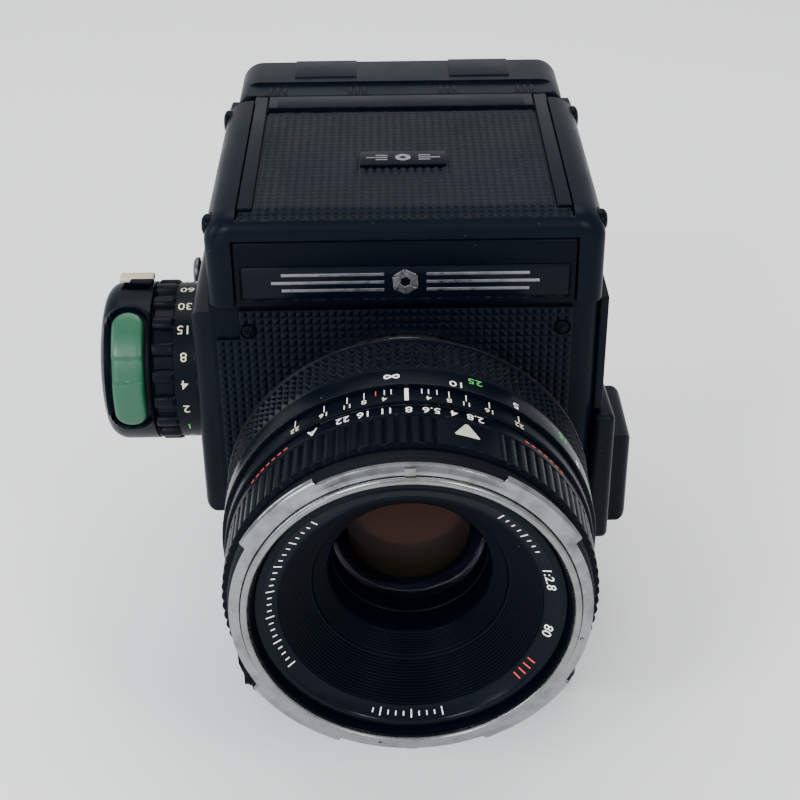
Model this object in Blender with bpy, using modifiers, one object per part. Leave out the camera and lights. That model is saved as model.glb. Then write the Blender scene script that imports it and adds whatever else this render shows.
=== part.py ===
"""Medium-format single-lens reflex camera with a folding waist-level finder.

Millimetres are used throughout and turned into metres by MM. The camera stands on its
base plate: Z = 0 is the plate's underside, X = 0 is the plane of the lens axis, the lens
looks along -Y, and the origin is the middle of the base plate.
"""
import math

import bmesh
import bpy
from mathutils import Matrix, Vector

MM = 0.001
GAP = 0.3                      # clearance between neighbouring pieces
MERGE = 0.00001

# Driving dimensions
AXIS_Z = 76.5                  # lens axis above the base
FRONT_Y = -46.0                # front face of the leather panel
BODY_HALF_WIDTH = 43.7
BODY_BACK_Y = 20.0
CASING_FRONT_Y = FRONT_Y + 1.3
CASING_TOP_Z = 117.6
BASE_THICKNESS = 3.0
WALL = 3.0

CHAMBER_HALF_WIDTH = 33.0      # mirror chamber
CHAMBER_FLOOR_Z = AXIS_Z - 35.0
SCREEN_Z = 114.4
THROAT_RADIUS = 27.0

HOOD_HALF_WIDTH = 43.2
HOOD_TOP_HALF_WIDTH = 42.8
HOOD_FRONT_Y = FRONT_Y - 4.3
HOOD_BACK_Y = FRONT_Y + 68.6
HOOD_BOTTOM_Z = 118.0
HOOD_TOP_Z = 139.4
LID_HALF_WIDTH = 35.9
LID_BOTTOM_Z = 137.3
LID_HINGE_Y = FRONT_Y + 67.0
LID_HINGE_Z = 138.4
FLAP_Z = 134.6
FLAP_HINGE_X = 35.2
FRONT_FLAP_Y = FRONT_Y + 2.4
FRONT_FLAP_Z = 132.5
FRONT_FLAP_LENGTH = 16.0

DECK_FRONT_Y = HOOD_BACK_Y + 0.8
DECK_BACK_Y = FRONT_Y + 92.5
DECK_HALF_WIDTH = 41.2
DECK_TOP_Z = 138.8

DIAL_Y = FRONT_Y + 26.0
DIAL_Z = AXIS_Z + 11.0
DIAL_RADIUS = 19.2
SIDE_X = -48.3                 # outer face of the left side housing
DRUM_END_X = -71.5
PILL_ANGLE = math.radians(21.6)    # press button's direction above the horizontal

COVER_X = 45.6                 # outer face of the right side cover
STUD_Y = FRONT_Y + 54.0        # strap studs
STUD_Z = AXIS_Z + 20.0
STUD_LENGTH = 4.8
STUD_HEAD_RADIUS = 4.0
STUD_NECK_RADIUS = 2.2
SCREW_X = 35.0                 # front panel screws
SCREW_Z = AXIS_Z + 32.9
SCREW_RADIUS = 1.5
RELEASE_X = 33.0               # release button on the front
RELEASE_Z = 17.0

FOCUS_RADIUS = 40.5
LENS_FRONT = 60.4              # front of the filter ring ahead of FRONT_Y

MIRROR_HINGE_Y = FRONT_Y + 60.0
MIRROR_HINGE_Z = AXIS_Z + 28.0
MIRROR_LENGTH = 52.0
BAFFLE_HINGE_Y = FRONT_Y + 62.4
BAFFLE_HINGE_Z = AXIS_Z + 22.6

MAG_FRONT_Y = BODY_BACK_Y + GAP + 0.3
MAG_BACK_Y = 70.0
MAG_HALF_WIDTH = 43.0
MAG_TOP_Z = 117.4
SPOOL_RADIUS = 12.4
SPOOL_Y = MAG_FRONT_Y + 27.0

RING_STEPS = 36
SMALL_STEPS = 20

BLACK_METAL = ("black_metal", (0.018, 0.020, 0.023), 0.42, 0.6)
BLACK_PLASTIC = ("black_plastic", (0.016, 0.017, 0.019), 0.5, 0.0)
LEATHER = ("leather", (0.02, 0.021, 0.024), 0.6, 0.0)
CHROME = ("chrome", (0.75, 0.76, 0.78), 0.14, 1.0)
STEEL = ("steel", (0.55, 0.56, 0.58), 0.3, 1.0)
GLASS = ("glass", (0.85, 0.9, 0.95), 0.03, 0.0)
MIRROR = ("mirror_coat", (0.9, 0.9, 0.92), 0.02, 1.0)
GREEN = ("green_plastic", (0.055, 0.205, 0.105), 0.4, 0.0)
CREAM = ("cream_plastic", (0.58, 0.57, 0.40), 0.45, 0.0)
BOARD = ("circuit_board", (0.02, 0.16, 0.07), 0.45, 0.0)
FILM = ("film_paper", (0.30, 0.24, 0.16), 0.7, 0.0)


# ---------------------------------------------------------------- helpers

def clear_scene():
    for obj in list(bpy.data.objects):
        bpy.data.objects.remove(obj, do_unlink=True)


def collection(name):
    made = bpy.data.collections.new(name)
    bpy.context.scene.collection.children.link(made)
    return made


def material(spec):
    name, colour, roughness, metallic = spec
    found = bpy.data.materials.get(name)
    if found:
        return found
    made = bpy.data.materials.new(name)
    made.use_nodes = True
    shader = made.node_tree.nodes["Principled BSDF"]
    shader.inputs["Base Color"].default_value = (*colour, 1.0)
    shader.inputs["Roughness"].default_value = roughness
    shader.inputs["Metallic"].default_value = metallic
    return made


def finish_mesh(name, bm, spec, pivot=(0, 0, 0)):
    """Turn a bmesh in millimetres into an object whose origin is at pivot."""
    bmesh.ops.translate(bm, verts=bm.verts, vec=-Vector(pivot))
    bmesh.ops.scale(bm, verts=bm.verts, vec=(MM, MM, MM))
    mesh = bpy.data.meshes.new(name)
    bm.to_mesh(mesh)
    bm.free()
    obj = bpy.data.objects.new(name, mesh)
    obj.location = Vector(pivot) * MM
    if spec is None:
        CUTTERS.objects.link(obj)
        obj.hide_render = True
        obj.display_type = 'WIRE'
    else:
        mesh.materials.append(material(spec))
        PARTS.objects.link(obj)
    return obj


def add_box(bm, low, high):
    low = Vector(low)
    high = Vector(high)
    place = Matrix.Translation((low + high) / 2) @ Matrix.Diagonal((*(high - low), 1.0))
    return bmesh.ops.create_cube(bm, size=1.0, matrix=place)["verts"]


def box(name, low, high, spec, pivot=(0, 0, 0), bevel=0.0, segments=2):
    bm = bmesh.new()
    add_box(bm, low, high)
    obj = finish_mesh(name, bm, spec, pivot)
    if bevel:
        round_edges(obj, bevel, segments)
    return obj


def round_edges(obj, width, segments=2):
    made = obj.modifiers.new("round", 'BEVEL')
    made.width = width * MM
    made.segments = segments
    made.limit_method = 'ANGLE'
    made.angle_limit = math.radians(40)
    return made


AXIS_TURNS = {
    "Z": Matrix.Identity(4),
    "-Y": Matrix.Rotation(math.radians(90), 4, 'X'),
    "-X": Matrix.Rotation(math.radians(-90), 4, 'Y'),
    "X": Matrix.Rotation(math.radians(90), 4, 'Y'),
}


def cylinder(name, centre, radius, length, axis, spec, sides=SMALL_STEPS, bevel=0.0):
    """A cylinder along axis, centred on centre."""
    bm = bmesh.new()
    place = Matrix.Translation(centre) @ AXIS_TURNS[axis]
    bmesh.ops.create_cone(bm, cap_ends=True, segments=sides, radius1=radius,
                          radius2=radius, depth=length, matrix=place)
    obj = finish_mesh(name, bm, spec, centre)
    if bevel:
        round_edges(obj, bevel, 1)
    return obj


def turned(name, outer, spec, inner=(), axis="-Y", centre=(0, 0, 0), steps=RING_STEPS):
    """Turn a profile of (radius, distance along axis) points about axis.

    outer runs down the outside from the far end; inner runs back up the bore. Without
    inner the outer profile starts and ends on the axis.
    """
    bm = bmesh.new()
    points = list(outer) + list(inner)
    verts = [bm.verts.new((r * MM, 0.0, z * MM)) for r, z in points]
    for a, b in zip(verts, verts[1:]):
        bm.edges.new((a, b))
    if inner:
        bm.edges.new((verts[-1], verts[0]))
    mesh = bpy.data.meshes.new(name)
    bm.to_mesh(mesh)
    bm.free()
    obj = bpy.data.objects.new(name, mesh)
    obj.matrix_world = Matrix.Translation(Vector(centre) * MM) @ AXIS_TURNS[axis]
    screw = obj.modifiers.new("turn", 'SCREW')
    screw.axis = 'Z'
    screw.angle = math.tau
    screw.steps = steps
    screw.render_steps = steps
    screw.use_merge_vertices = True
    screw.merge_threshold = MERGE
    if spec is None:
        CUTTERS.objects.link(obj)
        obj.hide_render = True
        obj.display_type = 'WIRE'
    else:
        mesh.materials.append(material(spec))
        PARTS.objects.link(obj)
    return obj


def lens_turned(name, outer, spec, inner=(), steps=RING_STEPS):
    """A turned lens piece; distances run forward from the leather panel's face."""
    return turned(name, outer, spec, inner, "-Y", (0, FRONT_Y, AXIS_Z), steps)


def cut(obj, *cutters, operation='DIFFERENCE'):
    for cutter in cutters:
        made = obj.modifiers.new("cut_" + cutter.name[:40], 'BOOLEAN')
        made.operation = operation
        made.solver = 'EXACT'
        made.object = cutter


def box_cutter(name, low, high):
    return box(name, low, high, None)


# ---------------------------------------------------------------- body

def body_casing():
    top = CASING_TOP_Z
    casing = box("body_casing", (-BODY_HALF_WIDTH, CASING_FRONT_Y, BASE_THICKNESS + GAP),
                 (BODY_HALF_WIDTH, BODY_BACK_Y, top), BLACK_METAL, bevel=2.6, segments=3)
    chamber = box_cutter("cut_chamber",
                         (-CHAMBER_HALF_WIDTH, FRONT_Y + 7.0, CHAMBER_FLOOR_Z),
                         (CHAMBER_HALF_WIDTH, BODY_BACK_Y + 5, top + 5))
    throat = cylinder("cut_throat", (0, FRONT_Y, AXIS_Z), THROAT_RADIUS, 30, "-Y", None, 40)
    bay = box_cutter("cut_bay", (-BODY_HALF_WIDTH + WALL, FRONT_Y + 6.0, -5),
                     (BODY_HALF_WIDTH - WALL, BODY_BACK_Y - WALL, CHAMBER_FLOOR_Z - WALL))
    seat = box_cutter("cut_screen_seat", (-36, FRONT_Y + 3.5, SCREEN_Z),
                      (36, BODY_BACK_Y - 2.0, top + 5))
    release = cylinder("cut_release", (RELEASE_X, FRONT_Y, RELEASE_Z), 5.6, 20, "-Y",
                       None, 24)
    screws = [cylinder("cut_screw_%d" % side, (side * SCREW_X, FRONT_Y, SCREW_Z),
                       1.0, 9, "-Y", None, 16) for side in (-1, 1)]
    cut(casing, chamber, throat, bay, seat, release, *screws)


def front_leather():
    """Grip panel on the front, cut away at the upper left corner and round the lens."""
    panel = box("front_leather", (-42.4, FRONT_Y, 4.0), (37.3, CASING_FRONT_Y - GAP, 114.5),
                LEATHER)
    step = box_cutter("cut_step", (-50, FRONT_Y - 5, AXIS_Z + 31.2),
                      (-36.8, FRONT_Y + 5, 125))
    hole = cylinder("cut_panel_hole", (0, FRONT_Y, AXIS_Z), 31.8, 20, "-Y", None, 40)
    screws = [cylinder("cut_panel_screw_%d" % side, (side * SCREW_X, FRONT_Y, SCREW_Z),
                       SCREW_RADIUS + 0.4, 9, "-Y", None, 20) for side in (-1, 1)]
    release = cylinder("cut_panel_release", (RELEASE_X, FRONT_Y, RELEASE_Z), 5.9, 20, "-Y",
                       None, 24)
    cut(panel, step, hole, release, *screws)


def base_parts():
    plate = box("base_plate", (-BODY_HALF_WIDTH + 0.4, CASING_FRONT_Y + 0.4, 0),
                (BODY_HALF_WIDTH - 0.4, MAG_BACK_Y - 4, BASE_THICKNESS), BLACK_METAL,
                bevel=0.8)
    bush_y = -22.0
    hole = cylinder("cut_bush_hole", (0, bush_y, 0), 6.3, 12, "Z", None, 24)
    cut(plate, hole)
    turned("tripod_bush", [(6.0, 10.0), (6.0, 0.0)], STEEL, [(3.3, 0.0), (3.3, 10.0)], "Z",
           (0, bush_y, 0), 24)


def side_parts():
    """Housings on both sides of the casing."""
    left = box("left_side_housing", (SIDE_X, FRONT_Y + 1.5, AXIS_Z - 17.2),
               (-BODY_HALF_WIDTH - GAP, BODY_BACK_Y - 0.5, AXIS_Z + 37.3), BLACK_PLASTIC,
               bevel=2.0, segments=3)
    bore = cylinder("cut_dial_bore", (-50, DIAL_Y, DIAL_Z), 6.3, 14, "X", None, 24)
    cut(left, bore)

    cover = box("right_side_cover", (BODY_HALF_WIDTH + GAP, FRONT_Y + 3.0, 12.0),
                (COVER_X, BODY_BACK_Y - 0.5, 115.5), BLACK_PLASTIC, bevel=0.3)
    pocket = box_cutter("cut_release_pocket", (40, FRONT_Y - 10, AXIS_Z - 28.0),
                        (60, FRONT_Y + 24.6, AXIS_Z + 9.5))
    cut(cover, pocket)

    box("release_housing", (BODY_HALF_WIDTH + GAP, FRONT_Y + 0.8, AXIS_Z - 27.0),
        (48.8, FRONT_Y + 24.0, AXIS_Z + 8.6), BLACK_PLASTIC, bevel=1.2, segments=3)
    box("grip_block", (COVER_X + GAP, FRONT_Y + 31.5, AXIS_Z - 44.0),
        (58.3, FRONT_Y + 56.0, AXIS_Z - 17.0), BLACK_PLASTIC, bevel=2.4, segments=3)


def strap_lugs():
    """A mushroom stud on each side that a strap's clip slides over."""
    profile = [(0.0, STUD_LENGTH), (STUD_HEAD_RADIUS - 0.8, STUD_LENGTH),
               (STUD_HEAD_RADIUS, STUD_LENGTH - 0.6), (STUD_HEAD_RADIUS, STUD_LENGTH - 1.5),
               (STUD_NECK_RADIUS, STUD_LENGTH - 1.9), (STUD_NECK_RADIUS, 0.9),
               (STUD_HEAD_RADIUS - 0.6, 0.5), (STUD_HEAD_RADIUS - 0.6, 0.0), (0.0, 0.0)]
    for name, axis, face in (("strap_lug_left", "-X", SIDE_X - GAP),
                             ("strap_lug_right", "X", COVER_X + GAP)):
        turned(name, profile, STEEL, (), axis, (face, STUD_Y, STUD_Z), 24)


def lens_mount_ring():
    lens_turned("lens_mount_ring", [(31.4, 0.8), (31.4, -1.0), (26.7, -1.0), (26.7, -6.0)],
                STEEL, [(24.6, -6.0), (24.6, 0.8)])


def front_screws():
    """Countersunk screws, each a head and a shank turned in one piece."""
    profile = [(0.0, 0.0), (SCREW_RADIUS, 0.0), (SCREW_RADIUS, -0.9), (0.7, -0.9),
               (0.7, -4.2), (0.0, -4.2)]
    for name, x in (("front_screw_left", -SCREW_X), ("front_screw_right", SCREW_X)):
        turned(name, profile, STEEL, (), "-Y", (x, FRONT_Y, SCREW_Z), 20)


def internals():
    """Drive, battery and board in the bay under the mirror chamber."""
    cylinder("drive_motor", (-22, -14, 21), 11, 42, "-Y", STEEL, 24, bevel=1.0)
    box("battery_pack", (8, -34, 5.5), (38, 6, 31), BLACK_PLASTIC, bevel=1.0)
    box("circuit_board", (-36, -36, 34.5), (36, 12, 36.0), BOARD)


def release_button():
    cylinder("release_button", (RELEASE_X, FRONT_Y + 2.2, RELEASE_Z), 5.2, 8.0, "-Y",
             CHROME, 24, bevel=0.7)


# ---------------------------------------------------------------- finder

def finder_housing():
    bm = bmesh.new()
    verts = add_box(bm, (-HOOD_HALF_WIDTH, HOOD_FRONT_Y, HOOD_BOTTOM_Z),
                    (HOOD_HALF_WIDTH, HOOD_BACK_Y, HOOD_TOP_Z))
    for vert in verts:
        if vert.co.z > HOOD_BOTTOM_Z + 1:
            vert.co.x *= HOOD_TOP_HALF_WIDTH / HOOD_HALF_WIDTH
    housing = finish_mesh("finder_housing", bm, BLACK_METAL)
    round_edges(housing, 1.6, 3)
    well = box_cutter("cut_well", (-36.2, FRONT_Y + 1.4, HOOD_BOTTOM_Z - 5),
                      (36.2, HOOD_BACK_Y - 2.2, HOOD_TOP_Z + 5))
    window = box_cutter("cut_window", (-37.4, HOOD_FRONT_Y - 5, HOOD_BOTTOM_Z - 5),
                        (37.4, HOOD_FRONT_Y + 3.2, AXIS_Z + 57.4))
    lip = box_cutter("cut_lip", (-36.2, HOOD_FRONT_Y - 5, LID_BOTTOM_Z - GAP),
                     (36.2, HOOD_BACK_Y + 5, HOOD_TOP_Z + 5))
    pins = [box_cutter("cut_pin_%d" % side, (min(side * 39.0, side * 50), FRONT_Y - 1.4,
                                             AXIS_Z + 55.6),
                       (max(side * 39.0, side * 50), FRONT_Y + 5.4, AXIS_Z + 61.2))
            for side in (-1, 1)]
    cut(housing, well, window, lip, *pins)


def nameplate_block():
    """Front block with a shallow blank recess."""
    block = box("nameplate_block", (-37.0, HOOD_FRONT_Y, HOOD_BOTTOM_Z),
                (37.0, HOOD_FRONT_Y + 2.8, AXIS_Z + 57.0), BLACK_PLASTIC, bevel=0.6)
    recess = box_cutter("cut_nameplate", (-35.6, HOOD_FRONT_Y - 3, AXIS_Z + 43.2),
                        (35.6, HOOD_FRONT_Y + 0.5, AXIS_Z + 51.3))
    cut(block, recess)


def hood_buttons():
    """Round buttons on both flanks that free the lid; they press inwards."""
    for name, side in (("hood_button_left", -1), ("hood_button_right", 1)):
        centre = (side * 42.5, FRONT_Y + 2.0, AXIS_Z + 58.4)
        cylinder(name, centre, 2.5, 3.6, "X", BLACK_METAL, 20, bevel=0.6)


def screen_parts():
    frame = box("screen_frame", (-35.8, FRONT_Y + 3.9, CASING_TOP_Z + GAP),
                (35.8, HOOD_BACK_Y - 2.6, CASING_TOP_Z + 3.0), BLACK_METAL)
    opening = box_cutter("cut_screen_frame", (-29, FRONT_Y + 8, 100),
                         (29, FRONT_Y + 60, 130))
    cut(frame, opening)
    box("focusing_screen", (-35.4, FRONT_Y + 4.2, SCREEN_Z + GAP),
        (35.4, BODY_BACK_Y - 2.6, CASING_TOP_Z - 0.4), GLASS)


def rear_deck():
    deck = box("rear_deck", (-DECK_HALF_WIDTH, DECK_FRONT_Y, HOOD_BOTTOM_Z),
               (DECK_HALF_WIDTH, DECK_BACK_Y, DECK_TOP_Z), BLACK_METAL, bevel=2.2,
               segments=3)
    hollow = box_cutter("cut_deck", (-DECK_HALF_WIDTH + 2.5, DECK_FRONT_Y + 2.5, 100),
                        (DECK_HALF_WIDTH - 2.5, DECK_BACK_Y - 2.5, DECK_TOP_Z - 3.5))
    cut(deck, hollow)


def hinge_pin():
    """Lid hinge pin with four knuckles, as one turned piece."""
    pin_r = 0.6
    knuckle_r = 0.75
    half = 35.0
    outer = [(0.0, half), (pin_r, half)]
    for centre in (31.0, 12.0, -10.0, -31.0):
        outer += [(pin_r, centre + 3.2), (knuckle_r, centre + 3.0),
                  (knuckle_r, centre - 3.0), (pin_r, centre - 3.2)]
    outer += [(pin_r, -half), (0.0, -half)]
    turned("hinge_pin", outer, STEEL, (), "X", (0, LID_HINGE_Y, LID_HINGE_Z), 10)


def hood_lid():
    """Lid with a shallow tray on top for the grip panel, hinged at the rear."""
    pivot = (0, LID_HINGE_Y, LID_HINGE_Z)
    lid = box("hood_lid", (-LID_HALF_WIDTH, HOOD_FRONT_Y + 0.4, LID_BOTTOM_Z),
              (LID_HALF_WIDTH, LID_HINGE_Y - 1.2, HOOD_TOP_Z - 0.2), BLACK_METAL, pivot)
    tray = box_cutter("cut_tray", (-LID_HALF_WIDTH + 1.5, HOOD_FRONT_Y + 3.0,
                                   HOOD_TOP_Z - 1.2),
                      (LID_HALF_WIDTH - 1.5, LID_HINGE_Y - 8.0, HOOD_TOP_Z + 4))
    cut(lid, tray)
    box("lid_panel", (-LID_HALF_WIDTH + 1.8, HOOD_FRONT_Y + 3.3, HOOD_TOP_Z - 0.9),
        (LID_HALF_WIDTH - 1.8, LID_HINGE_Y - 8.3, HOOD_TOP_Z - 0.1), LEATHER, pivot)
    box("lid_badge", (-9.8, FRONT_Y + 22.0, HOOD_TOP_Z + 0.1),
        (9.8, FRONT_Y + 29.6, HOOD_TOP_Z + 0.4), BLACK_METAL, pivot)


def outline_plate(name, points, z0, thickness, spec, pivot):
    """Flat plate from an outline in X and Y."""
    curve = bpy.data.curves.new(name + "_outline", 'CURVE')
    curve.dimensions = '2D'
    curve.fill_mode = 'BOTH'
    curve.extrude = thickness / 2 * MM
    spline = curve.splines.new('POLY')
    spline.points.add(len(points) - 1)
    for point, (x, y) in zip(spline.points, points):
        point.co = ((x - pivot[0]) * MM, (y - pivot[1]) * MM, 0.0, 1.0)
    spline.use_cyclic_u = True
    source = bpy.data.objects.new(name + "_curve", curve)
    PARTS.objects.link(source)
    source.location = (pivot[0] * MM, pivot[1] * MM, (z0 + thickness / 2) * MM)
    bpy.context.view_layer.update()
    depsgraph = bpy.context.evaluated_depsgraph_get()
    mesh = bpy.data.meshes.new_from_object(source.evaluated_get(depsgraph))
    mesh.name = name
    bm = bmesh.new()
    bm.from_mesh(mesh)
    bmesh.ops.remove_doubles(bm, verts=bm.verts, dist=MERGE)
    shift = (z0 + thickness / 2 - pivot[2]) * MM
    bmesh.ops.translate(bm, verts=bm.verts, vec=(0, 0, shift))
    bm.to_mesh(mesh)
    bm.free()
    bpy.data.objects.remove(source, do_unlink=True)
    bpy.data.curves.remove(curve)
    obj = bpy.data.objects.new(name, mesh)
    obj.location = Vector(pivot) * MM
    mesh.materials.clear()
    mesh.materials.append(material(spec))
    PARTS.objects.link(obj)
    return obj


def side_flaps():
    """Thin flaps that lie flat under the lid and rise with it; the rear ends are cut at
    forty-five degrees so that the rising lid clears them."""
    y0 = FRONT_Y + 4.6
    y1 = LID_HINGE_Y - 4.0
    width = 32.4
    for name, side in (("side_flap_left", -1), ("side_flap_right", 1)):
        edge = side * (FLAP_HINGE_X - 0.2)
        tip = side * (FLAP_HINGE_X - width)
        points = [(edge, y0), (tip, y0), (tip, y1 - width - 1.5), (edge, y1 - 1.5)]
        if side > 0:
            points.reverse()
        outline_plate(name, points, FLAP_Z - 0.4, 0.8, BLACK_METAL,
                      (side * FLAP_HINGE_X, 0, FLAP_Z))


def front_flap():
    pivot = (0, FRONT_FLAP_Y, FRONT_FLAP_Z)
    y0 = FRONT_FLAP_Y + 0.4
    y1 = FRONT_FLAP_Y + FRONT_FLAP_LENGTH - 1.3
    wide = 33.0
    narrow = wide - (y1 - y0) - 1.0
    outline_plate("front_flap", [(-wide, y0), (wide, y0), (narrow, y1), (-narrow, y1)],
                  FRONT_FLAP_Z - 0.4, 0.8, BLACK_METAL, pivot)


def magnifier():
    pivot = (0, FRONT_FLAP_Y + FRONT_FLAP_LENGTH, FRONT_FLAP_Z)
    y0 = pivot[1] + 0.5
    plate = box("magnifier_plate", (-13.5, y0, FRONT_FLAP_Z - 0.9),
                (13.5, y0 + 27.5, FRONT_FLAP_Z + 0.9), BLACK_METAL, pivot)
    hole = cylinder("cut_magnifier", (0, y0 + 14.0, FRONT_FLAP_Z), 11.0, 20, "Z", None, 32)
    cut(plate, hole)
    turned("magnifier_lens", [(0.0, 1.25), (5.5, 1.0), (10.7, 0.45), (10.7, -0.45),
                              (5.5, -1.0), (0.0, -1.25)], GLASS, (), "Z",
           (0, y0 + 14.0, FRONT_FLAP_Z), 32)


# ---------------------------------------------------------------- mirror and baffle

def tilted_plate(name, low, high, angle, spec, pivot):
    """A box laid out flat from its pivot, then turned about X by angle."""
    bm = bmesh.new()
    add_box(bm, low, high)
    bmesh.ops.scale(bm, verts=bm.verts, vec=(MM, MM, MM))
    mesh = bpy.data.meshes.new(name)
    bm.to_mesh(mesh)
    bm.free()
    mesh.materials.append(material(spec))
    obj = bpy.data.objects.new(name, mesh)
    obj.matrix_world = (Matrix.Translation(Vector(pivot) * MM)
                        @ Matrix.Rotation(angle, 4, 'X'))
    PARTS.objects.link(obj)
    return obj


def mirror_parts():
    pivot = (0, MIRROR_HINGE_Y, MIRROR_HINGE_Z)
    tilt = math.radians(45)
    tilted_plate("mirror_carrier", (-30, -MIRROR_LENGTH, -2.6), (30, 0, -0.8), tilt, STEEL,
                 pivot)
    tilted_plate("mirror_glass", (-28, -MIRROR_LENGTH + 1.5, -0.5), (28, -3, 1.2), tilt,
                 MIRROR, pivot)
    box("rear_baffle", (-30.5, BAFFLE_HINGE_Y - 0.8, BAFFLE_HINGE_Z - 52.0),
        (30.5, BAFFLE_HINGE_Y + 0.8, BAFFLE_HINGE_Z - 0.5), BLACK_METAL,
        (0, BAFFLE_HINGE_Y, BAFFLE_HINGE_Z))


# ---------------------------------------------------------------- dial

def dial_parts():
    centre = (0, DIAL_Y, DIAL_Z)
    ring_in = -SIDE_X + GAP
    groove = 59.2
    end = -DRUM_END_X
    outer = [(DIAL_RADIUS + 0.2, groove), (DIAL_RADIUS + 0.2, 54.2),
             (DIAL_RADIUS - 0.4, 53.8), (DIAL_RADIUS - 0.4, ring_in)]
    turned("shutter_dial", outer, BLACK_PLASTIC, [(6.6, ring_in), (6.6, groove)], "-X",
           centre)
    round_r = 4.0
    arc = []
    for k in range(5):
        a = math.radians(90 * k / 4)
        arc.append((DIAL_RADIUS - round_r + round_r * math.sin(a),
                    end - round_r + round_r * math.cos(a)))
    drum = turned("dial_drum", [(0.0, end)] + arc
                  + [(DIAL_RADIUS, groove + GAP), (6.0, groove + GAP),
                     (6.0, 44.6), (0.0, 44.6)], BLACK_PLASTIC, (), "-X", centre)
    rail = Matrix.Rotation(-PILL_ANGLE, 4, 'X')
    pocket = placed_box("cut_pill", (-end + 2.4, -DIAL_RADIUS - 4, -13.6),
                        (-groove - 1.2, -DIAL_RADIUS + 6.0, 13.6), rail)
    slot = placed_box("cut_slider", (-end + 3.0, -2.6, DIAL_RADIUS - 2.8),
                      (-groove - 0.2, 9.8, DIAL_RADIUS + 4), Matrix.Identity(4))
    cut(drum, pocket, slot)


def placed_box(name, low, high, turn, spec=None):
    """A box laid out about the dial axis and turned about it."""
    bm = bmesh.new()
    add_box(bm, low, high)
    bmesh.ops.scale(bm, verts=bm.verts, vec=(MM, MM, MM))
    mesh = bpy.data.meshes.new(name)
    bm.to_mesh(mesh)
    bm.free()
    obj = bpy.data.objects.new(name, mesh)
    obj.matrix_world = Matrix.Translation(Vector((0, DIAL_Y, DIAL_Z)) * MM) @ turn
    if spec is None:
        CUTTERS.objects.link(obj)
        obj.hide_render = True
        obj.display_type = 'WIRE'
    else:
        mesh.materials.append(material(spec))
        PARTS.objects.link(obj)
    return obj


def mode_button():
    """Green press button set into the front of the drum; its top follows the drum."""
    turn = Matrix.Rotation(-PILL_ANGLE, 4, 'X')
    end = -DRUM_END_X
    pill = placed_box("mode_button", (-end + 2.8, -DIAL_RADIUS - 3, -13.2),
                      (-59.2 - 1.6, -DIAL_RADIUS + 4.6, 13.2), turn, GREEN)
    skin = turned("cut_pill_skin", [(DIAL_RADIUS + 0.9, 90), (DIAL_RADIUS + 0.9, 40)],
                  None, [(0.5, 40), (0.5, 90)], "-X", (0, DIAL_Y, DIAL_Z))
    cut(pill, skin, operation='INTERSECT')


def index_slider():
    end = -DRUM_END_X
    slider = placed_box("index_slider", (-end + 3.4, 0.4, DIAL_RADIUS - 1.2),
                        (-59.2 - 0.6, 6.8, DIAL_RADIUS + 1.4), Matrix.Identity(4), CREAM)
    round_edges(slider, 0.5, 1)


# ---------------------------------------------------------------- lens

def lens_parts():
    lens_turned("lens_core_barrel",
                [(20.0, 33.0), (33.0, 33.0), (36.0, 15.6), (34.0, 14.0), (30.6, 6.0),
                 (30.6, 1.2), (24.2, 1.2), (24.2, -7.0)],
                BLACK_METAL, [(19.0, -7.0), (19.0, 4.0), (18.0, 4.0), (18.0, 24.0),
                              (20.0, 24.0)])
    lens_turned("focus_ring", [(FOCUS_RADIUS - 0.3, 34.8), (FOCUS_RADIUS - 0.3, 28.9),
                               (FOCUS_RADIUS - 1.0, 28.7), (FOCUS_RADIUS - 1.0, 27.5),
                               (FOCUS_RADIUS, 27.2), (FOCUS_RADIUS, 16.6)],
                BLACK_METAL, [(37.0, 16.6), (37.0, 34.8)], 40)
    lens_turned("dof_ring", [(39.0, 40.0), (39.3, 39.7), (39.3, 35.1)], BLACK_METAL,
                [(35.4, 35.1), (35.4, 40.0)], 40)
    lens_turned("aperture_ring", [(38.3, 54.1), (38.7, 53.6), (38.7, 40.3)], BLACK_METAL,
                [(35.4, 40.3), (35.4, 54.1)], 40)
    lens_turned("front_barrel", [(33.2, 57.7), (36.9, 57.7), (37.3, 56.6), (37.5, 54.5),
                                 (35.0, 54.5), (35.0, 38.0)],
                BLACK_METAL, [(33.8, 38.0), (33.8, 54.8), (33.2, 54.8)])
    lens_turned("chrome_ring", [(35.2, LENS_FRONT), (35.6, 59.4), (38.4, 59.0), (38.4, 58.0)],
                CHROME, [(32.9, 58.0), (32.9, 59.6), (33.4, LENS_FRONT)], 40)
    lens_turned("name_ring", [(32.6, 57.6), (32.9, 57.2), (32.9, 54.6)], BLACK_METAL,
                [(27.9, 54.6), (27.3, 56.2)])
    lens_turned("ribbed_baffle", [(26.8, 56.0), (27.6, 54.2), (21.8, 47.2), (18.6, 42.4),
                                  (18.4, 34.0)], BLACK_METAL,
                [(16.9, 34.0), (17.2, 43.4), (20.8, 48.2)])
    lens_turned("front_glass", [(0.0, 36.2), (6.0, 35.9), (11.0, 35.2), (16.4, 33.7),
                                (16.4, 31.0), (0.0, 31.0)], GLASS, (), 40)
    lens_turned("iris_unit", [(17.6, 22.0), (17.6, 17.0)], STEEL,
                [(12.0, 17.0), (12.0, 22.0)], 40)
    lens_turned("rear_glass", [(0.0, 0.5), (17.6, 2.5), (17.6, -4.0), (10.0, -5.8),
                               (0.0, -6.4)], GLASS, (), 40)


# ---------------------------------------------------------------- film magazine

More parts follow.
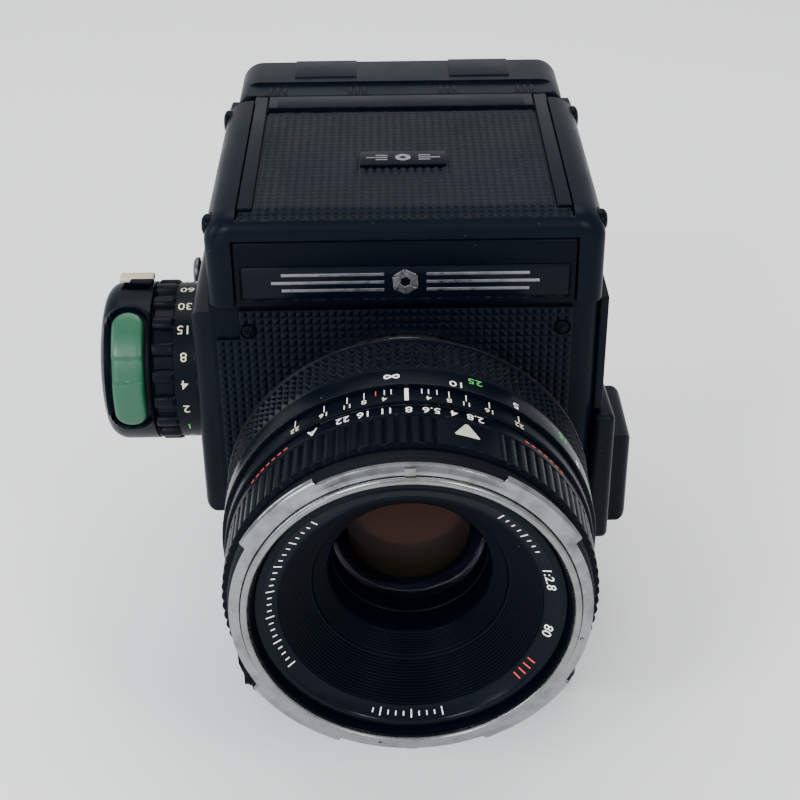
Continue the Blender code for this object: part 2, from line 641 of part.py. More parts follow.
def magazine_parts():
    shell = box("magazine_shell", (-MAG_HALF_WIDTH, MAG_FRONT_Y, BASE_THICKNESS + GAP),
                (MAG_HALF_WIDTH, MAG_BACK_Y - 4.0, MAG_TOP_Z), BLACK_METAL, bevel=2.4,
                segments=3)
    inside = box_cutter("cut_magazine", (-MAG_HALF_WIDTH + 3, MAG_FRONT_Y + 4.5, 7.0),
                        (MAG_HALF_WIDTH - 3, MAG_BACK_Y + 5, MAG_TOP_Z - 3.2))
    gate = box_cutter("cut_gate", (-28, MAG_FRONT_Y - 5, AXIS_Z - 28),
                      (28, MAG_FRONT_Y + 10, AXIS_Z + 28))
    slot = box_cutter("cut_slide_slot", (-32.5, MAG_FRONT_Y + 1.2, AXIS_Z - 31),
                      (60, MAG_FRONT_Y + 2.8, AXIS_Z + 31))
    catch = box_cutter("cut_catch", (-7.4, MAG_BACK_Y - 14.4, MAG_TOP_Z - 1.6),
                       (7.4, MAG_BACK_Y - 7.6, MAG_TOP_Z + 5))
    crank = cylinder("cut_crank", (MAG_HALF_WIDTH, SPOOL_Y, AXIS_Z + 24), 9.4, 3.2, "X",
                     None, 32)
    stem = cylinder("cut_crank_stem", (MAG_HALF_WIDTH, SPOOL_Y, AXIS_Z + 24), 2.4, 14,
                    "X", None, 20)
    cut(shell, inside, gate, slot, catch, crank, stem)

    box("dark_slide", (-32.0, MAG_FRONT_Y + 1.6, AXIS_Z - 30.5),
        (MAG_HALF_WIDTH + 2.8, MAG_FRONT_Y + 2.4, AXIS_Z + 30.5), STEEL)
    box("magazine_door", (-MAG_HALF_WIDTH, MAG_BACK_Y - 3.6, BASE_THICKNESS + GAP),
        (MAG_HALF_WIDTH, MAG_BACK_Y, MAG_TOP_Z), BLACK_METAL,
        (0, MAG_BACK_Y - 1.0, BASE_THICKNESS + 1.0), bevel=1.2)
    box("magazine_catch", (-7.0, MAG_BACK_Y - 12.0, MAG_TOP_Z - 1.2),
        (7.0, MAG_BACK_Y - 8.0, MAG_TOP_Z + 0.3), STEEL, bevel=0.4)
    insert = box("film_insert", (-38.6, MAG_FRONT_Y + 5.0, AXIS_Z - 40),
                 (38.6, MAG_FRONT_Y + 39.0, AXIS_Z + 36.5), BLACK_PLASTIC)
    rooms = box_cutter("cut_insert_rooms", (-36.6, MAG_FRONT_Y + 7.5, AXIS_Z - 50),
                       (36.6, MAG_FRONT_Y + 60, AXIS_Z + 50))
    film_gate = box_cutter("cut_insert_gate", (-28, MAG_FRONT_Y, AXIS_Z - 28),
                           (28, MAG_FRONT_Y + 20, AXIS_Z + 28))
    ports = cylinder("cut_insert_axle", (20, SPOOL_Y, AXIS_Z + 24), 2.6, 60, "X", None, 20)
    cut(insert, rooms, film_gate, ports)
    box("pressure_plate", (-30, MAG_FRONT_Y + 8.6, AXIS_Z - 29),
        (30, MAG_FRONT_Y + 10.0, AXIS_Z + 29), STEEL)
    for name, z in (("supply_spool", AXIS_Z - 25), ("takeup_spool", AXIS_Z + 24)):
        half = 32.0
        turned(name, [(0.0, half), (SPOOL_RADIUS, half), (SPOOL_RADIUS, half - 1.2),
                      (8.0 if z < AXIS_Z else 5.0, half - 1.2),
                      (8.0 if z < AXIS_Z else 5.0, -half + 1.2),
                      (SPOOL_RADIUS, -half + 1.2), (SPOOL_RADIUS, -half), (0.0, -half)],
               FILM, (), "X", (0, SPOOL_Y, z), 32)


def winding_crank():
    """Disc with a fold-flat handle on the magazine's side, on the take-up spool's axis."""
    centre = (MAG_HALF_WIDTH - 0.2, SPOOL_Y, AXIS_Z + 24)
    disc = cylinder("winding_crank", centre, 9.0, 2.2, "X", BLACK_METAL, 32, bevel=0.4)
    stem = cylinder("join_crank_stem", (MAG_HALF_WIDTH - 4.5, SPOOL_Y, AXIS_Z + 24), 2.0,
                    7.4, "X", None, 20)
    handle = box_cutter("join_crank_handle", (MAG_HALF_WIDTH + 0.5, SPOOL_Y - 7.0,
                                              AXIS_Z + 22.0),
                        (MAG_HALF_WIDTH + 2.6, SPOOL_Y + 7.0, AXIS_Z + 26.0))
    cut(disc, stem, handle, operation='UNION')


clear_scene()
PARTS = collection("reflex_camera")
CUTTERS = collection("cutters")

body_casing()
front_leather()
base_parts()
side_parts()
strap_lugs()
lens_mount_ring()
front_screws()
internals()
release_button()
finder_housing()
nameplate_block()
hood_buttons()
screen_parts()
rear_deck()
hinge_pin()
hood_lid()
side_flaps()
front_flap()
magnifier()
mirror_parts()
dial_parts()
mode_button()
index_slider()
lens_parts()
magazine_parts()
winding_crank()
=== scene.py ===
"""Looks of the medium-format reflex camera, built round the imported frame.

Lengths are in millimetres and become metres in piece(). Lens pieces are laid out as
(radius, angle clockwise from the top, distance ahead of the front panel); dial pieces as
(radius, elevation above the horizontal towards the front, distance out from the middle).
"""
import math

import bmesh
import bpy
from mathutils import Matrix, Vector


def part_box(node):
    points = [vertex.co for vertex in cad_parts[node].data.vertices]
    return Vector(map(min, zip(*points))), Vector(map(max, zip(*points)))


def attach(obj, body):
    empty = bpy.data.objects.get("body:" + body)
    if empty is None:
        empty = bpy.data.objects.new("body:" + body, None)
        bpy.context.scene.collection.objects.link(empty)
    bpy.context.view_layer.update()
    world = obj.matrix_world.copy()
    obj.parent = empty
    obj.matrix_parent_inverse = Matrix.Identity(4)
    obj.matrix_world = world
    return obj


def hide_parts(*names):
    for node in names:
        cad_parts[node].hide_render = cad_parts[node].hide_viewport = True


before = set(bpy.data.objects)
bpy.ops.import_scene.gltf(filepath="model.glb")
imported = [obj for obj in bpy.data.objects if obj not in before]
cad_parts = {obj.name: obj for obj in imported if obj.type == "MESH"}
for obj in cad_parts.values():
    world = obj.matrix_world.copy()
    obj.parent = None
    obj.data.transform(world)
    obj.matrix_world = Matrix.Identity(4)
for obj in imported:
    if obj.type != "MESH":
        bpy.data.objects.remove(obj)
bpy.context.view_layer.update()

MM = 0.001


def span(node):
    """Lowest and highest corner of a CAD node in millimetres."""
    low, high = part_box(node)
    return low / MM, high / MM


FOCUS_LOW, FOCUS_HIGH = span("focus_ring")
AXIS = (FOCUS_LOW.z + FOCUS_HIGH.z) / 2
FRONT = span("front_leather")[0].y
DIAL_LOW, DIAL_HIGH = span("dial_drum")
DIAL_Y = (DIAL_LOW.y + DIAL_HIGH.y) / 2
DIAL_Z = (DIAL_LOW.z + DIAL_HIGH.z) / 2
DRUM_RADIUS = (DIAL_HIGH.z - DIAL_LOW.z) / 2
PYRAMID = 1.83                     # pitch of the pressed grip pattern
RING_STEPS = 160


# ---------------------------------------------------------------- mesh helpers

def piece(name, bm, body, material, nodes=(), sharp=32.0):
    """Turn a bmesh in millimetres into a finished piece that rides on a body."""
    bmesh.ops.recalc_face_normals(bm, faces=bm.faces)
    bmesh.ops.scale(bm, verts=bm.verts, vec=(MM, MM, MM))
    mesh = bpy.data.meshes.new(name)
    bm.to_mesh(mesh)
    bm.free()
    obj = bpy.data.objects.new(name, mesh)
    bpy.context.scene.collection.objects.link(obj)
    mesh.materials.append(material)
    mesh.shade_smooth()
    mesh.set_sharp_from_angle(angle=math.radians(sharp))
    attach(obj, body)
    if nodes:
        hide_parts(*nodes)
    return obj


def slab(low, high, radius=0.0, segments=4, edges=None):
    """A box with rounded edges; edges picks which ones to round."""
    bm = bmesh.new()
    low = Vector(low)
    high = Vector(high)
    place = Matrix.Translation((low + high) / 2) @ Matrix.Diagonal((*(high - low), 1.0))
    bmesh.ops.create_cube(bm, size=1.0, matrix=place)
    if radius:
        picked = [e for e in bm.edges if edges is None or edges(e)]
        bmesh.ops.bevel(bm, geom=picked, offset=radius, segments=segments, profile=0.5,
                        affect='EDGES', clamp_overlap=True)
    return bm


def joined(*parts):
    """Put several bmeshes into one."""
    whole = bmesh.new()
    for part in parts:
        mesh = bpy.data.meshes.new("join")
        part.to_mesh(mesh)
        part.free()
        whole.from_mesh(mesh)
        bpy.data.meshes.remove(mesh)
    return whole


def temporary(bm):
    mesh = bpy.data.meshes.new("temporary")
    bm.to_mesh(mesh)
    bm.free()
    obj = bpy.data.objects.new("temporary", mesh)
    bpy.context.scene.collection.objects.link(obj)
    return obj


def carve(bm, *cutters, operation='DIFFERENCE'):
    """Boolean of bmeshes, kept as a bmesh."""
    target = temporary(bm)
    tools = [temporary(cutter) for cutter in cutters]
    for tool in tools:
        made = target.modifiers.new("carve", 'BOOLEAN')
        made.operation = operation
        made.solver = 'EXACT'
        made.object = tool
    bpy.context.view_layer.update()
    depsgraph = bpy.context.evaluated_depsgraph_get()
    mesh = bpy.data.meshes.new_from_object(target.evaluated_get(depsgraph))
    result = bmesh.new()
    result.from_mesh(mesh)
    for obj in [target] + tools:
        old = obj.data
        bpy.data.objects.remove(obj, do_unlink=True)
        bpy.data.meshes.remove(old)
    bpy.data.meshes.remove(mesh)
    return result


AXIS_TURNS = {
    "Z": Matrix.Identity(4),
    "-Y": Matrix.Rotation(math.radians(90), 4, 'X'),
    "X": Matrix.Rotation(math.radians(90), 4, 'Y'),
}


def rod(centre, radius, length, axis="Z", sides=48, top=None, bevel=0.0):
    bm = bmesh.new()
    place = Matrix.Translation(centre) @ AXIS_TURNS[axis]
    bmesh.ops.create_cone(bm, cap_ends=True, segments=sides, radius1=radius,
                          radius2=radius if top is None else top, depth=length,
                          matrix=place)
    if bevel:
        rims = [e for e in bm.edges if all(len(f.verts) <= 4 for f in e.link_faces) is False]
        bmesh.ops.bevel(bm, geom=rims, offset=bevel, segments=3, profile=0.5,
                        affect='EDGES', clamp_overlap=True)
    return bm


def lens(radius, angle, ahead):
    return Vector((radius * math.sin(angle), FRONT - ahead, AXIS + radius * math.cos(angle)))


def dial(radius, elevation, out):
    return Vector((-out, DIAL_Y - radius * math.cos(elevation),
                   DIAL_Z + radius * math.sin(elevation)))


def upright(x, y):
    """Placing function for pieces turned about a vertical axis."""
    return lambda r, a, z: Vector((x + r * math.sin(a), y + r * math.cos(a), z))


def round_edges(bm, edges, radius, steps):
    bmesh.ops.bevel(bm, geom=edges, offset=radius, segments=steps, profile=0.5, affect='EDGES')


def both_sides(near, far, low, high, radius=0.0, steps=1):
    """Two mirrored slabs, near to far from the middle; low and high are (y, z) corners."""
    return [slab((min(side * near, side * far), *low), (max(side * near, side * far), *high),
                 radius, steps)
            for side in (-1, 1)]


def facing(x, z):
    """Placing function for pieces turned about an axis along Y."""
    return lambda r, a, y: Vector((x + r * math.sin(a), y, z + r * math.cos(a)))


def sideways(y, z, side=1.0):
    """Placing function for pieces turned about an axis along X; side sets its direction."""
    return lambda r, a, d: Vector((side * d, y + r * math.sin(a), z + r * math.cos(a)))


def soft(points, radius, steps=3, closed=True):
    """Round the corners of a profile."""
    out = []
    count = len(points)
    for i, point in enumerate(points):
        if not closed and i in (0, count - 1):
            out.append(point)
            continue
        here = Vector(point)
        before = Vector(points[i - 1]) - here
        after = Vector(points[(i + 1) % count]) - here
        reach_in = min(radius, before.length * 0.45)
        reach_out = min(radius, after.length * 0.45)
        start = here + before.normalized() * reach_in
        end = here + after.normalized() * reach_out
        for k in range(steps + 1):
            t = k / steps
            spot = start * (1 - t) ** 2 + here * 2 * t * (1 - t) + end * t ** 2
            out.append((spot.x, spot.y))
    return out


def revolve(profile, place, steps=RING_STEPS, closed=True, swell=None):
    """Turn a profile of (radius, distance); swell changes a radius by angle."""
    bm = bmesh.new()
    rows = []
    for k in range(steps):
        angle = math.tau * k / steps
        row = []
        for radius, distance in profile:
            if swell:
                radius = swell(radius, distance, angle)
            row.append(bm.verts.new(place(radius, angle, distance)))
        rows.append(row)
    count = len(profile)
    for k, row in enumerate(rows):
        following = rows[(k + 1) % steps]
        for i in range(count if closed else count - 1):
            j = (i + 1) % count
            bm.faces.new((row[i], row[j], following[j], following[i]))
    bmesh.ops.remove_doubles(bm, verts=bm.verts, dist=0.0001)
    bmesh.ops.dissolve_degenerate(bm, edges=bm.edges, dist=0.00001)
    return bm


def lattice(us, vs, place, wanted, depth, peak):
    """Plate whose top is a lattice of pyramids; place(u, v, height) sets each point.

    wanted(u, v) keeps a cell. The plate's rim drops by depth and its back is closed.
    """
    bm = bmesh.new()
    corners = {}

    def corner(i, j):
        if (i, j) not in corners:
            corners[i, j] = bm.verts.new(place(us[i], vs[j], 0.0))
        return corners[i, j]

    def low(i, j):
        key = (i, j, "low")
        if key not in corners:
            corners[key] = bm.verts.new(place(us[i], vs[j], -depth))
        return corners[key]

    cells = {(i, j) for i in range(len(us) - 1) for j in range(len(vs) - 1)
             if wanted((us[i] + us[i + 1]) / 2, (vs[j] + vs[j + 1]) / 2)}
    for i, j in sorted(cells):
        square = [(i, j), (i + 1, j), (i + 1, j + 1), (i, j + 1)]
        apex = bm.verts.new(place((us[i] + us[i + 1]) / 2, (vs[j] + vs[j + 1]) / 2, peak))
        for k, here in enumerate(square):
            there = square[(k + 1) % 4]
            bm.faces.new((corner(*here), corner(*there), apex))
        bm.faces.new([low(*c) for c in reversed(square)])
        beside = [(i, j - 1), (i + 1, j), (i, j + 1), (i - 1, j)]
        for k, other in enumerate(beside):
            if other not in cells:
                here, there = square[k], square[(k + 1) % 4]
                bm.faces.new((corner(*there), corner(*here), low(*here), low(*there)))
    return bm


def steps_between(start, end, pitch):
    """Evenly spaced values from start to end, about a pitch apart."""
    count = max(1, round(abs(end - start) / pitch))
    return [start + (end - start) * k / count for k in range(count + 1)]


# ---------------------------------------------------------------- lettering

LETTER_HALF_THICKNESS = 0.02
DIGIT_HEIGHT = {}


def text_mesh(text, bold=0.002):
    """Flat letters one unit high in em terms, centred, as a mesh with a little depth."""
    curve = bpy.data.curves.new("letters", 'FONT')
    curve.body = text
    curve.size = 1.0
    curve.align_x = 'CENTER'
    curve.resolution_u = 4
    curve.extrude = 0.01
    curve.offset = bold
    obj = bpy.data.objects.new("letters", curve)
    bpy.context.scene.collection.objects.link(obj)
    bpy.context.view_layer.update()
    depsgraph = bpy.context.evaluated_depsgraph_get()
    mesh = bpy.data.meshes.new_from_object(obj.evaluated_get(depsgraph))
    bpy.data.objects.remove(obj, do_unlink=True)
    bpy.data.curves.remove(curve)
    return mesh


def digit_height():
    if not DIGIT_HEIGHT:
        mesh = text_mesh("8")
        tops = [v.co.y for v in mesh.vertices]
        DIGIT_HEIGHT["value"] = (min(tops), max(tops))
        bpy.data.meshes.remove(mesh)
    return DIGIT_HEIGHT["value"]


def lay(bm, flat, spot, pitch=0.45):
    """Bend a flat mesh, drawn in (right, up) millimetres, over a surface."""
    for axis in (0, 1):
        values = [vert.co[axis] for vert in flat.verts]
        normal = (1, 0, 0) if axis == 0 else (0, 1, 0)
        for value in steps_between(min(values), max(values), pitch)[1:-1]:
            everything = flat.verts[:] + flat.edges[:] + flat.faces[:]
            place = tuple(value * part for part in normal)
            bmesh.ops.bisect_plane(flat, geom=everything, dist=0.00001, plane_co=place,
                                   plane_no=normal)
    for vert in flat.verts:
        proud = math.copysign(LETTER_HALF_THICKNESS, vert.co.z)
        vert.co = spot(vert.co.x, vert.co.y, proud)
    add_bm(bm, flat)


def add_text(bm, text, height, spot, wide=1.0):
    """Letters laid on a surface; spot(right, up, proud) gives a point on it."""
    bottom, top = digit_height()
    scale = height / (top - bottom)
    mesh = text_mesh(text)
    letters = bmesh.new()
    letters.from_mesh(mesh)
    bpy.data.meshes.remove(mesh)
    bmesh.ops.remove_doubles(letters, verts=letters.verts, dist=0.0001)
    for vert in letters.verts:
        vert.co.x *= scale * wide
        vert.co.y = (vert.co.y - (top + bottom) / 2) * scale
    lay(bm, letters, spot)


def add_shape(bm, corners, spot):
    """A flat outline laid on a surface."""
    flat = bmesh.new()
    upper = [flat.verts.new((x, y, 1.0)) for x, y in corners]
    lower = [flat.verts.new((x, y, -1.0)) for x, y in corners]
    flat.faces.new(upper)
    flat.faces.new(list(reversed(lower)))
    count = len(corners)
    for i in range(count):
        j = (i + 1) % count
        flat.faces.new((lower[i], lower[j], upper[j], upper[i]))
    lay(bm, flat, spot)


def add_bm(whole, part):
    mesh = bpy.data.meshes.new("part")
    part.to_mesh(mesh)
    part.free()
    whole.from_mesh(mesh)
    bpy.data.meshes.remove(mesh)


def add_bar(bm, low, high, spot, proud=LETTER_HALF_THICKNESS, cells=4):
    """A flat bar from low to high in (right, up) terms, laid on a surface."""
    part = bmesh.new()
    rows = []
    for k in range(cells + 1):
        right = low[0] + (high[0] - low[0]) * k / cells
        rows.append([part.verts.new(spot(right, up, level))
                     for up, level in ((low[1], -proud), (high[1], -proud),
                                       (high[1], proud), (low[1], proud))])
    for a, b in zip(rows, rows[1:]):
        for i in range(4):
            j = (i + 1) % 4
            part.faces.new((a[i], a[j], b[j], b[i]))
    part.faces.new(rows[0])
    part.faces.new(list(reversed(rows[-1])))
    add_bm(bm, part)


def on_lens(angle_deg, radius, ahead):
    """Letters on a lens ring, their tops towards the front of the lens."""
    angle = math.radians(angle_deg)
    return lambda right, up, proud: lens(radius + proud, angle - right / radius, ahead + up)


def on_face(angle_deg, radius, ahead, rise=0.0):
    """Letters on a ring that faces forward, their tops outwards."""
    angle = math.radians(angle_deg)
    return lambda right, up, proud: lens(radius + up, angle + right / radius,
                                         ahead + up * rise + proud)


def on_dial(elevation_deg, radius, out):
    """Letters on the side dial, their tops down."""
    elevation = math.radians(elevation_deg)
    return lambda right, up, proud: dial(radius + proud, elevation - up / radius,
                                         out + right)


# ---------------------------------------------------------------- materials

class Shader:
    """A Principled material being put together from procedural nodes."""

    def __init__(self, name, roughness=0.5, metallic=0.0, **sockets):
        self.material = bpy.data.materials.new(name)
        self.material.use_nodes = True
        self.tree = self.material.node_tree
        self.bsdf = self.tree.nodes["Principled BSDF"]
        self.bsdf.inputs["Roughness"].default_value = roughness
        self.bsdf.inputs["Metallic"].default_value = metallic
        for socket, value in sockets.items():
            self.bsdf.inputs[socket.replace("_", " ")].default_value = value
        self.where = self.node("ShaderNodeTexCoord").outputs["Object"]

    def node(self, kind, **values):
        made = self.tree.nodes.new(kind)
        for key, value in values.items():
            setattr(made, key, value)
        return made

    def link(self, source, target):
        self.tree.links.new(source, target)

    def noise(self, scale, detail=3.0, roughness=0.55, stretch=None):
        made = self.node("ShaderNodeTexNoise")
        made.inputs["Scale"].default_value = scale
        made.inputs["Detail"].default_value = detail
        made.inputs["Roughness"].default_value = roughness
        source = self.where
        if stretch:
            mapping = self.node("ShaderNodeMapping")
            mapping.inputs["Scale"].default_value = stretch
            self.link(source, mapping.inputs["Vector"])
            source = mapping.outputs["Vector"]
        self.link(source, made.inputs["Vector"])
        return made.outputs["Fac"]

    def range(self, source, from_low, from_high, low, high, smooth=False):
        made = self.node("ShaderNodeMapRange")
        if smooth:
            made.interpolation_type = 'SMOOTHSTEP'
        for socket, value in (("From Min", from_low), ("From Max", from_high),
                              ("To Min", low), ("To Max", high)):
            made.inputs[socket].default_value = value
        self.link(source, made.inputs["Value"])
        return made.outputs["Result"]

    def math(self, operation, first, second):
        made = self.node("ShaderNodeMath", operation=operation)
        for socket, value in zip(made.inputs, (first, second)):
            if isinstance(value, (int, float)):
                socket.default_value = value
            else:
                self.link(value, socket)
        return made.outputs["Value"]

    def mix(self, factor, first, second):
        made = self.node("ShaderNodeMix", data_type='RGBA')
        self.link(factor, made.inputs["Factor"])
        for key, value in (("A", first), ("B", second)):
            socket = [s for s in made.inputs if s.name == key and s.type == 'RGBA'][0]
            if isinstance(value, tuple):
                socket.default_value = (*value, 1.0)
            else:
                self.link(value, socket)
        return [s for s in made.outputs if s.type == 'RGBA'][0]

    def rounded(self, radius):
        """Normal with small edges rounded off."""
        made = self.node("ShaderNodeBevel", samples=4)
        made.inputs["Radius"].default_value = radius
        return made.outputs["Normal"]

    def bump(self, height, strength, distance=0.0001, normal=None):
        made = self.node("ShaderNodeBump")
        if normal:
            self.link(normal, made.inputs["Normal"])
        made.inputs["Strength"].default_value = strength
        made.inputs["Distance"].default_value = distance
        self.link(height, made.inputs["Height"])
        self.link(made.outputs["Normal"], self.bsdf.inputs["Normal"])

    def specks(self, cell, size):
        """Sparse dust: a dot in some cells of a Voronoi pattern."""
        made = self.node("ShaderNodeTexVoronoi")
        made.inputs["Scale"].default_value = 1.0 / (cell * MM)
        self.link(self.where, made.inputs["Vector"])
        dot = self.range(made.outputs["Distance"], size * 0.4, size, 1.0, 0.0)
        parts = self.node("ShaderNodeSeparateColor")
        self.link(made.outputs["Color"], parts.inputs["Color"])
        chosen = self.range(parts.outputs["Red"], 0.72, 0.74, 0.0, 1.0)
        return self.math('MULTIPLY', dot, chosen)


def black_finish(name, colour, roughness, grain=0.25, grain_scale=5200.0, dust=0.35,
                 wear=0.0, specular=0.14, mottle=1.25, worn=(0.055, 0.057, 0.06)):
    """Satin black with fine grain, slight mottling, dust and worn edges."""
    made = Shader(name, roughness, 0.0, Specular_IOR_Level=specular)
    base = made.mix(made.range(made.noise(38.0, 3.0), 0.35, 0.7, 0.0, 1.0), colour,
                    tuple(c * mottle for c in colour))
    soft_normal = made.rounded(0.00028)
    if wear:
        geometry = made.node("ShaderNodeNewGeometry")
        likeness = made.node("ShaderNodeVectorMath", operation='DOT_PRODUCT')
        made.link(soft_normal, likeness.inputs[0])
        made.link(geometry.outputs["Normal"], likeness.inputs[1])
        edge = made.range(likeness.outputs["Value"], 0.985, 0.88, 0.0, 1.0)
        patchy = made.range(made.noise(700.0, 4.0), 0.48, 0.66, 0.0, wear)
        base = made.mix(made.math('MULTIPLY', edge, patchy), base, worn)
    if dust:
        spread = made.range(made.noise(45.0, 2.0), 0.40, 0.62, 0.0, dust)
        spots = made.math('MULTIPLY', made.specks(2.2, 0.07), spread)
        fine = made.math('MULTIPLY', made.specks(1.3, 0.06), spread)
        base = made.mix(spots, base, (0.34, 0.34, 0.33))
        base = made.mix(fine, base, (0.16, 0.16, 0.155))
    made.link(base, made.bsdf.inputs["Base Color"])
    made.link(made.range(made.noise(90.0, 3.0), 0.3, 0.7, roughness - 0.03,
                         roughness + 0.05), made.bsdf.inputs["Roughness"])
    made.bump(made.noise(grain_scale, 2.0), grain, 0.00002, soft_normal)
    return made.material


def plain_plastic(name, colour, roughness, grain=0.15, variation=1.12):
    made = Shader(name, roughness, 0.0, Specular_IOR_Level=0.45)
    tone = made.mix(made.range(made.noise(90.0, 4.0), 0.35, 0.65, 0.0, 1.0), colour,
                    tuple(min(1.0, c * variation) for c in colour))
    made.link(tone, made.bsdf.inputs["Base Color"])
    made.link(made.range(made.noise(500.0, 3.0), 0.3, 0.7, roughness - 0.05,
                         roughness + 0.07), made.bsdf.inputs["Roughness"])
    made.bump(made.noise(3800.0, 2.0), grain, 0.00003)
    return made.material


def metal(name, colour, roughness, stretch=None, scratch=0.2, variation=0.85):
    """Bright metal with fine scratches and a few stains."""
    made = Shader(name, roughness, 1.0)
    tone = made.mix(made.range(made.noise(240.0, 5.0), 0.45, 0.75, 0.0, 1.0), colour,
                    tuple(c * variation for c in colour))
    made.link(tone, made.bsdf.inputs["Base Color"])
    made.link(made.range(made.noise(700.0, 5.0, 0.7, stretch), 0.3, 0.7,
                         roughness * 0.65, roughness * 1.5), made.bsdf.inputs["Roughness"])
    made.bump(made.noise(2600.0, 4.0, 0.6, stretch), scratch, 0.00002,
              made.rounded(0.0002))
    return made.material


def coated_glass(name, tint, transmission, ior, roughness=0.0, base=(1.0, 1.0, 1.0),
                 specular=0.5):
    made = Shader(name, roughness, 0.0, Transmission_Weight=transmission, IOR=ior,
                  Specular_IOR_Level=specular)
    made.bsdf.inputs["Base Color"].default_value = (*base, 1.0)
    made.bsdf.inputs["Specular Tint"].default_value = (*tint, 1.0)
    return made.material


PAINT = black_finish("black_paint", (0.0014, 0.0032, 0.0064), 0.34, wear=0.5,
                     specular=0.055)
MOULDED = black_finish("black_moulded", (0.0015, 0.0032, 0.0062), 0.36, grain=0.4,
                       grain_scale=4200.0, wear=0.3, specular=0.075)
GRIP = black_finish("grip_texture", (0.0010, 0.0028, 0.0062), 0.36, dust=0.4, wear=0.25,
                    specular=0.068)
ANODISED = black_finish("black_anodised", (0.0012, 0.0024, 0.0050), 0.28, grain=0.1,
                        dust=0.3, wear=0.5, specular=0.042)
CELL = black_finish("lens_cell_black", (0.0030, 0.0045, 0.0100), 0.22, grain=0.1,
                    dust=0.1, specular=0.30)
KNURL = black_finish("knurled_black", (0.0012, 0.0024, 0.0050), 0.24, dust=0.6, wear=0.5,
                     specular=0.085)
DUSTY = black_finish("dusty_black", (0.0026, 0.0036, 0.0052), 0.50, grain=0.4, dust=1.0,
                     wear=0.7, mottle=1.8, specular=0.05)
BAFFLE = black_finish("baffle_black", (0.0005, 0.0016, 0.0042), 0.36, grain=0.1, dust=0.35,
                      specular=0.05)
NAME_FACE = black_finish("name_ring_black", (0.0012, 0.0028, 0.0056), 0.18, grain=0.05,
                         dust=0.1, specular=0.075)
DARK_STEEL = metal("dark_steel", (0.10, 0.105, 0.115), 0.36)
CHROME = metal("satin_chrome", (0.205, 0.21, 0.205), 0.26, scratch=0.4, variation=0.65)
POLISHED = metal("polished_chrome", (0.22, 0.225, 0.23), 0.09, scratch=0.2, variation=0.5)
STEEL = metal("steel", (0.45, 0.46, 0.48), 0.32)
SILVER = metal("silver_inlay", (0.30, 0.30, 0.32), 0.34)
GREEN = plain_plastic("green_plastic", (0.006, 0.072, 0.032), 0.38)
POINTER_INK = plain_plastic("pointer_ink", (0.50, 0.48, 0.38), 0.5, variation=0.7)
CREAM = plain_plastic("cream_plastic", (0.42, 0.40, 0.28), 0.42)
WHITE_INK = plain_plastic("white_ink", (0.78, 0.78, 0.74), 0.6, grain=0.05)
IVORY_INK = plain_plastic("ivory_ink", (0.68, 0.64, 0.44), 0.6, grain=0.05)
GREEN_INK = plain_plastic("green_ink", (0.06, 0.42, 0.09), 0.6, grain=0.05)
RED_INK = plain_plastic("red_ink", (0.62, 0.035, 0.03), 0.6, grain=0.05)
BOARD = plain_plastic("board_green", (0.02, 0.14, 0.06), 0.4)
PAPER = plain_plastic("backing_paper", (0.26, 0.20, 0.12), 0.7, variation=1.4)
FRONT_GLASS = coated_glass("front_glass_coated", (0.75, 0.42, 0.9), 1.0, 1.10, 0.0,
                           specular=0.07)
# Opaque inner lens elements: their near-black brownish base colour is painted shade standing for
# the dark depth of the lens; the amber specular tint is the coating's reflection colour.
INNER_GLASS_PAINTED_SHADE = coated_glass("inner_glass_coated_painted_shade", (1.0, 0.42, 0.16), 0.0, 1.5, 0.03,
                           (0.005, 0.004, 0.003), specular=0.30)
DEEP_GLASS_PAINTED_SHADE = coated_glass("deep_glass_coated_painted_shade", (1.0, 0.36, 0.08), 0.0, 1.5, 0.04,
                          (0.009, 0.0070, 0.0040), specular=0.13)
CLEAR_GLASS = coated_glass("clear_glass", (0.8, 0.9, 1.0), 1.0, 1.5)
SCREEN_GLASS = coated_glass("screen_glass", (1.0, 1.0, 1.0), 0.55, 1.45, 0.35,
                            (0.55, 0.57, 0.58))
MIRROR = coated_glass("mirror_silver", (1.0, 1.0, 1.0), 0.0, 1.5, 0.02, (0.85, 0.86, 0.87))
MIRROR.node_tree.nodes["Principled BSDF"].inputs["Metallic"].default_value = 1.0


# ---------------------------------------------------------------- body

def tuck_under():
    """Cutter that slants the left wall in towards the bottom."""
    low, high = span("body_casing")
    bm = slab((low.x - 3.0, low.y - 3.0, -2.0), (low.x + 4.2, high.y + 30.0, 11.0))
    for vert in bm.verts:
        if vert.co.x > low.x and vert.co.z > 10.0:
            vert.co.x = low.x - 0.05
    return bm


def casing():
    low, high = span("body_casing")
    screen = span("focusing_screen")
    board = span("circuit_board")
    bm = slab(low, high)
    corner = [e for e in bm.edges if all(v.co.x > high.x - 1 and v.co.y < low.y + 1
                                         for v in e.verts)]
    round_edges(bm, corner, 4.2, 8)
    chamber = slab((-33.0, FRONT + 7.0, AXIS - 35.0), (33.0, high.y + 5, high.z + 5))
    seat = slab((-36.0, FRONT + 3.5, screen[0].z - 0.3), (36.0, high.y - 2.0, high.z + 5))
    bay = slab((-40.0, FRONT + 6.0, -5.0), (40.0, high.y - 3.0, board[1].z + 2.5))
    hole = rod((0, FRONT, AXIS), 27.0, 30.0, "-Y", 96)
    release = rod((33.0, FRONT, 17.0), 5.6, 20.0, "-Y")
    bm = carve(bm, tuck_under(), chamber, seat, bay, hole, release)
    piece("casing_shell", bm, "body", PAINT, ["body_casing"])


def in_leather(x, z):
    return not (x < -36.8 and z > AXIS + 31.2)


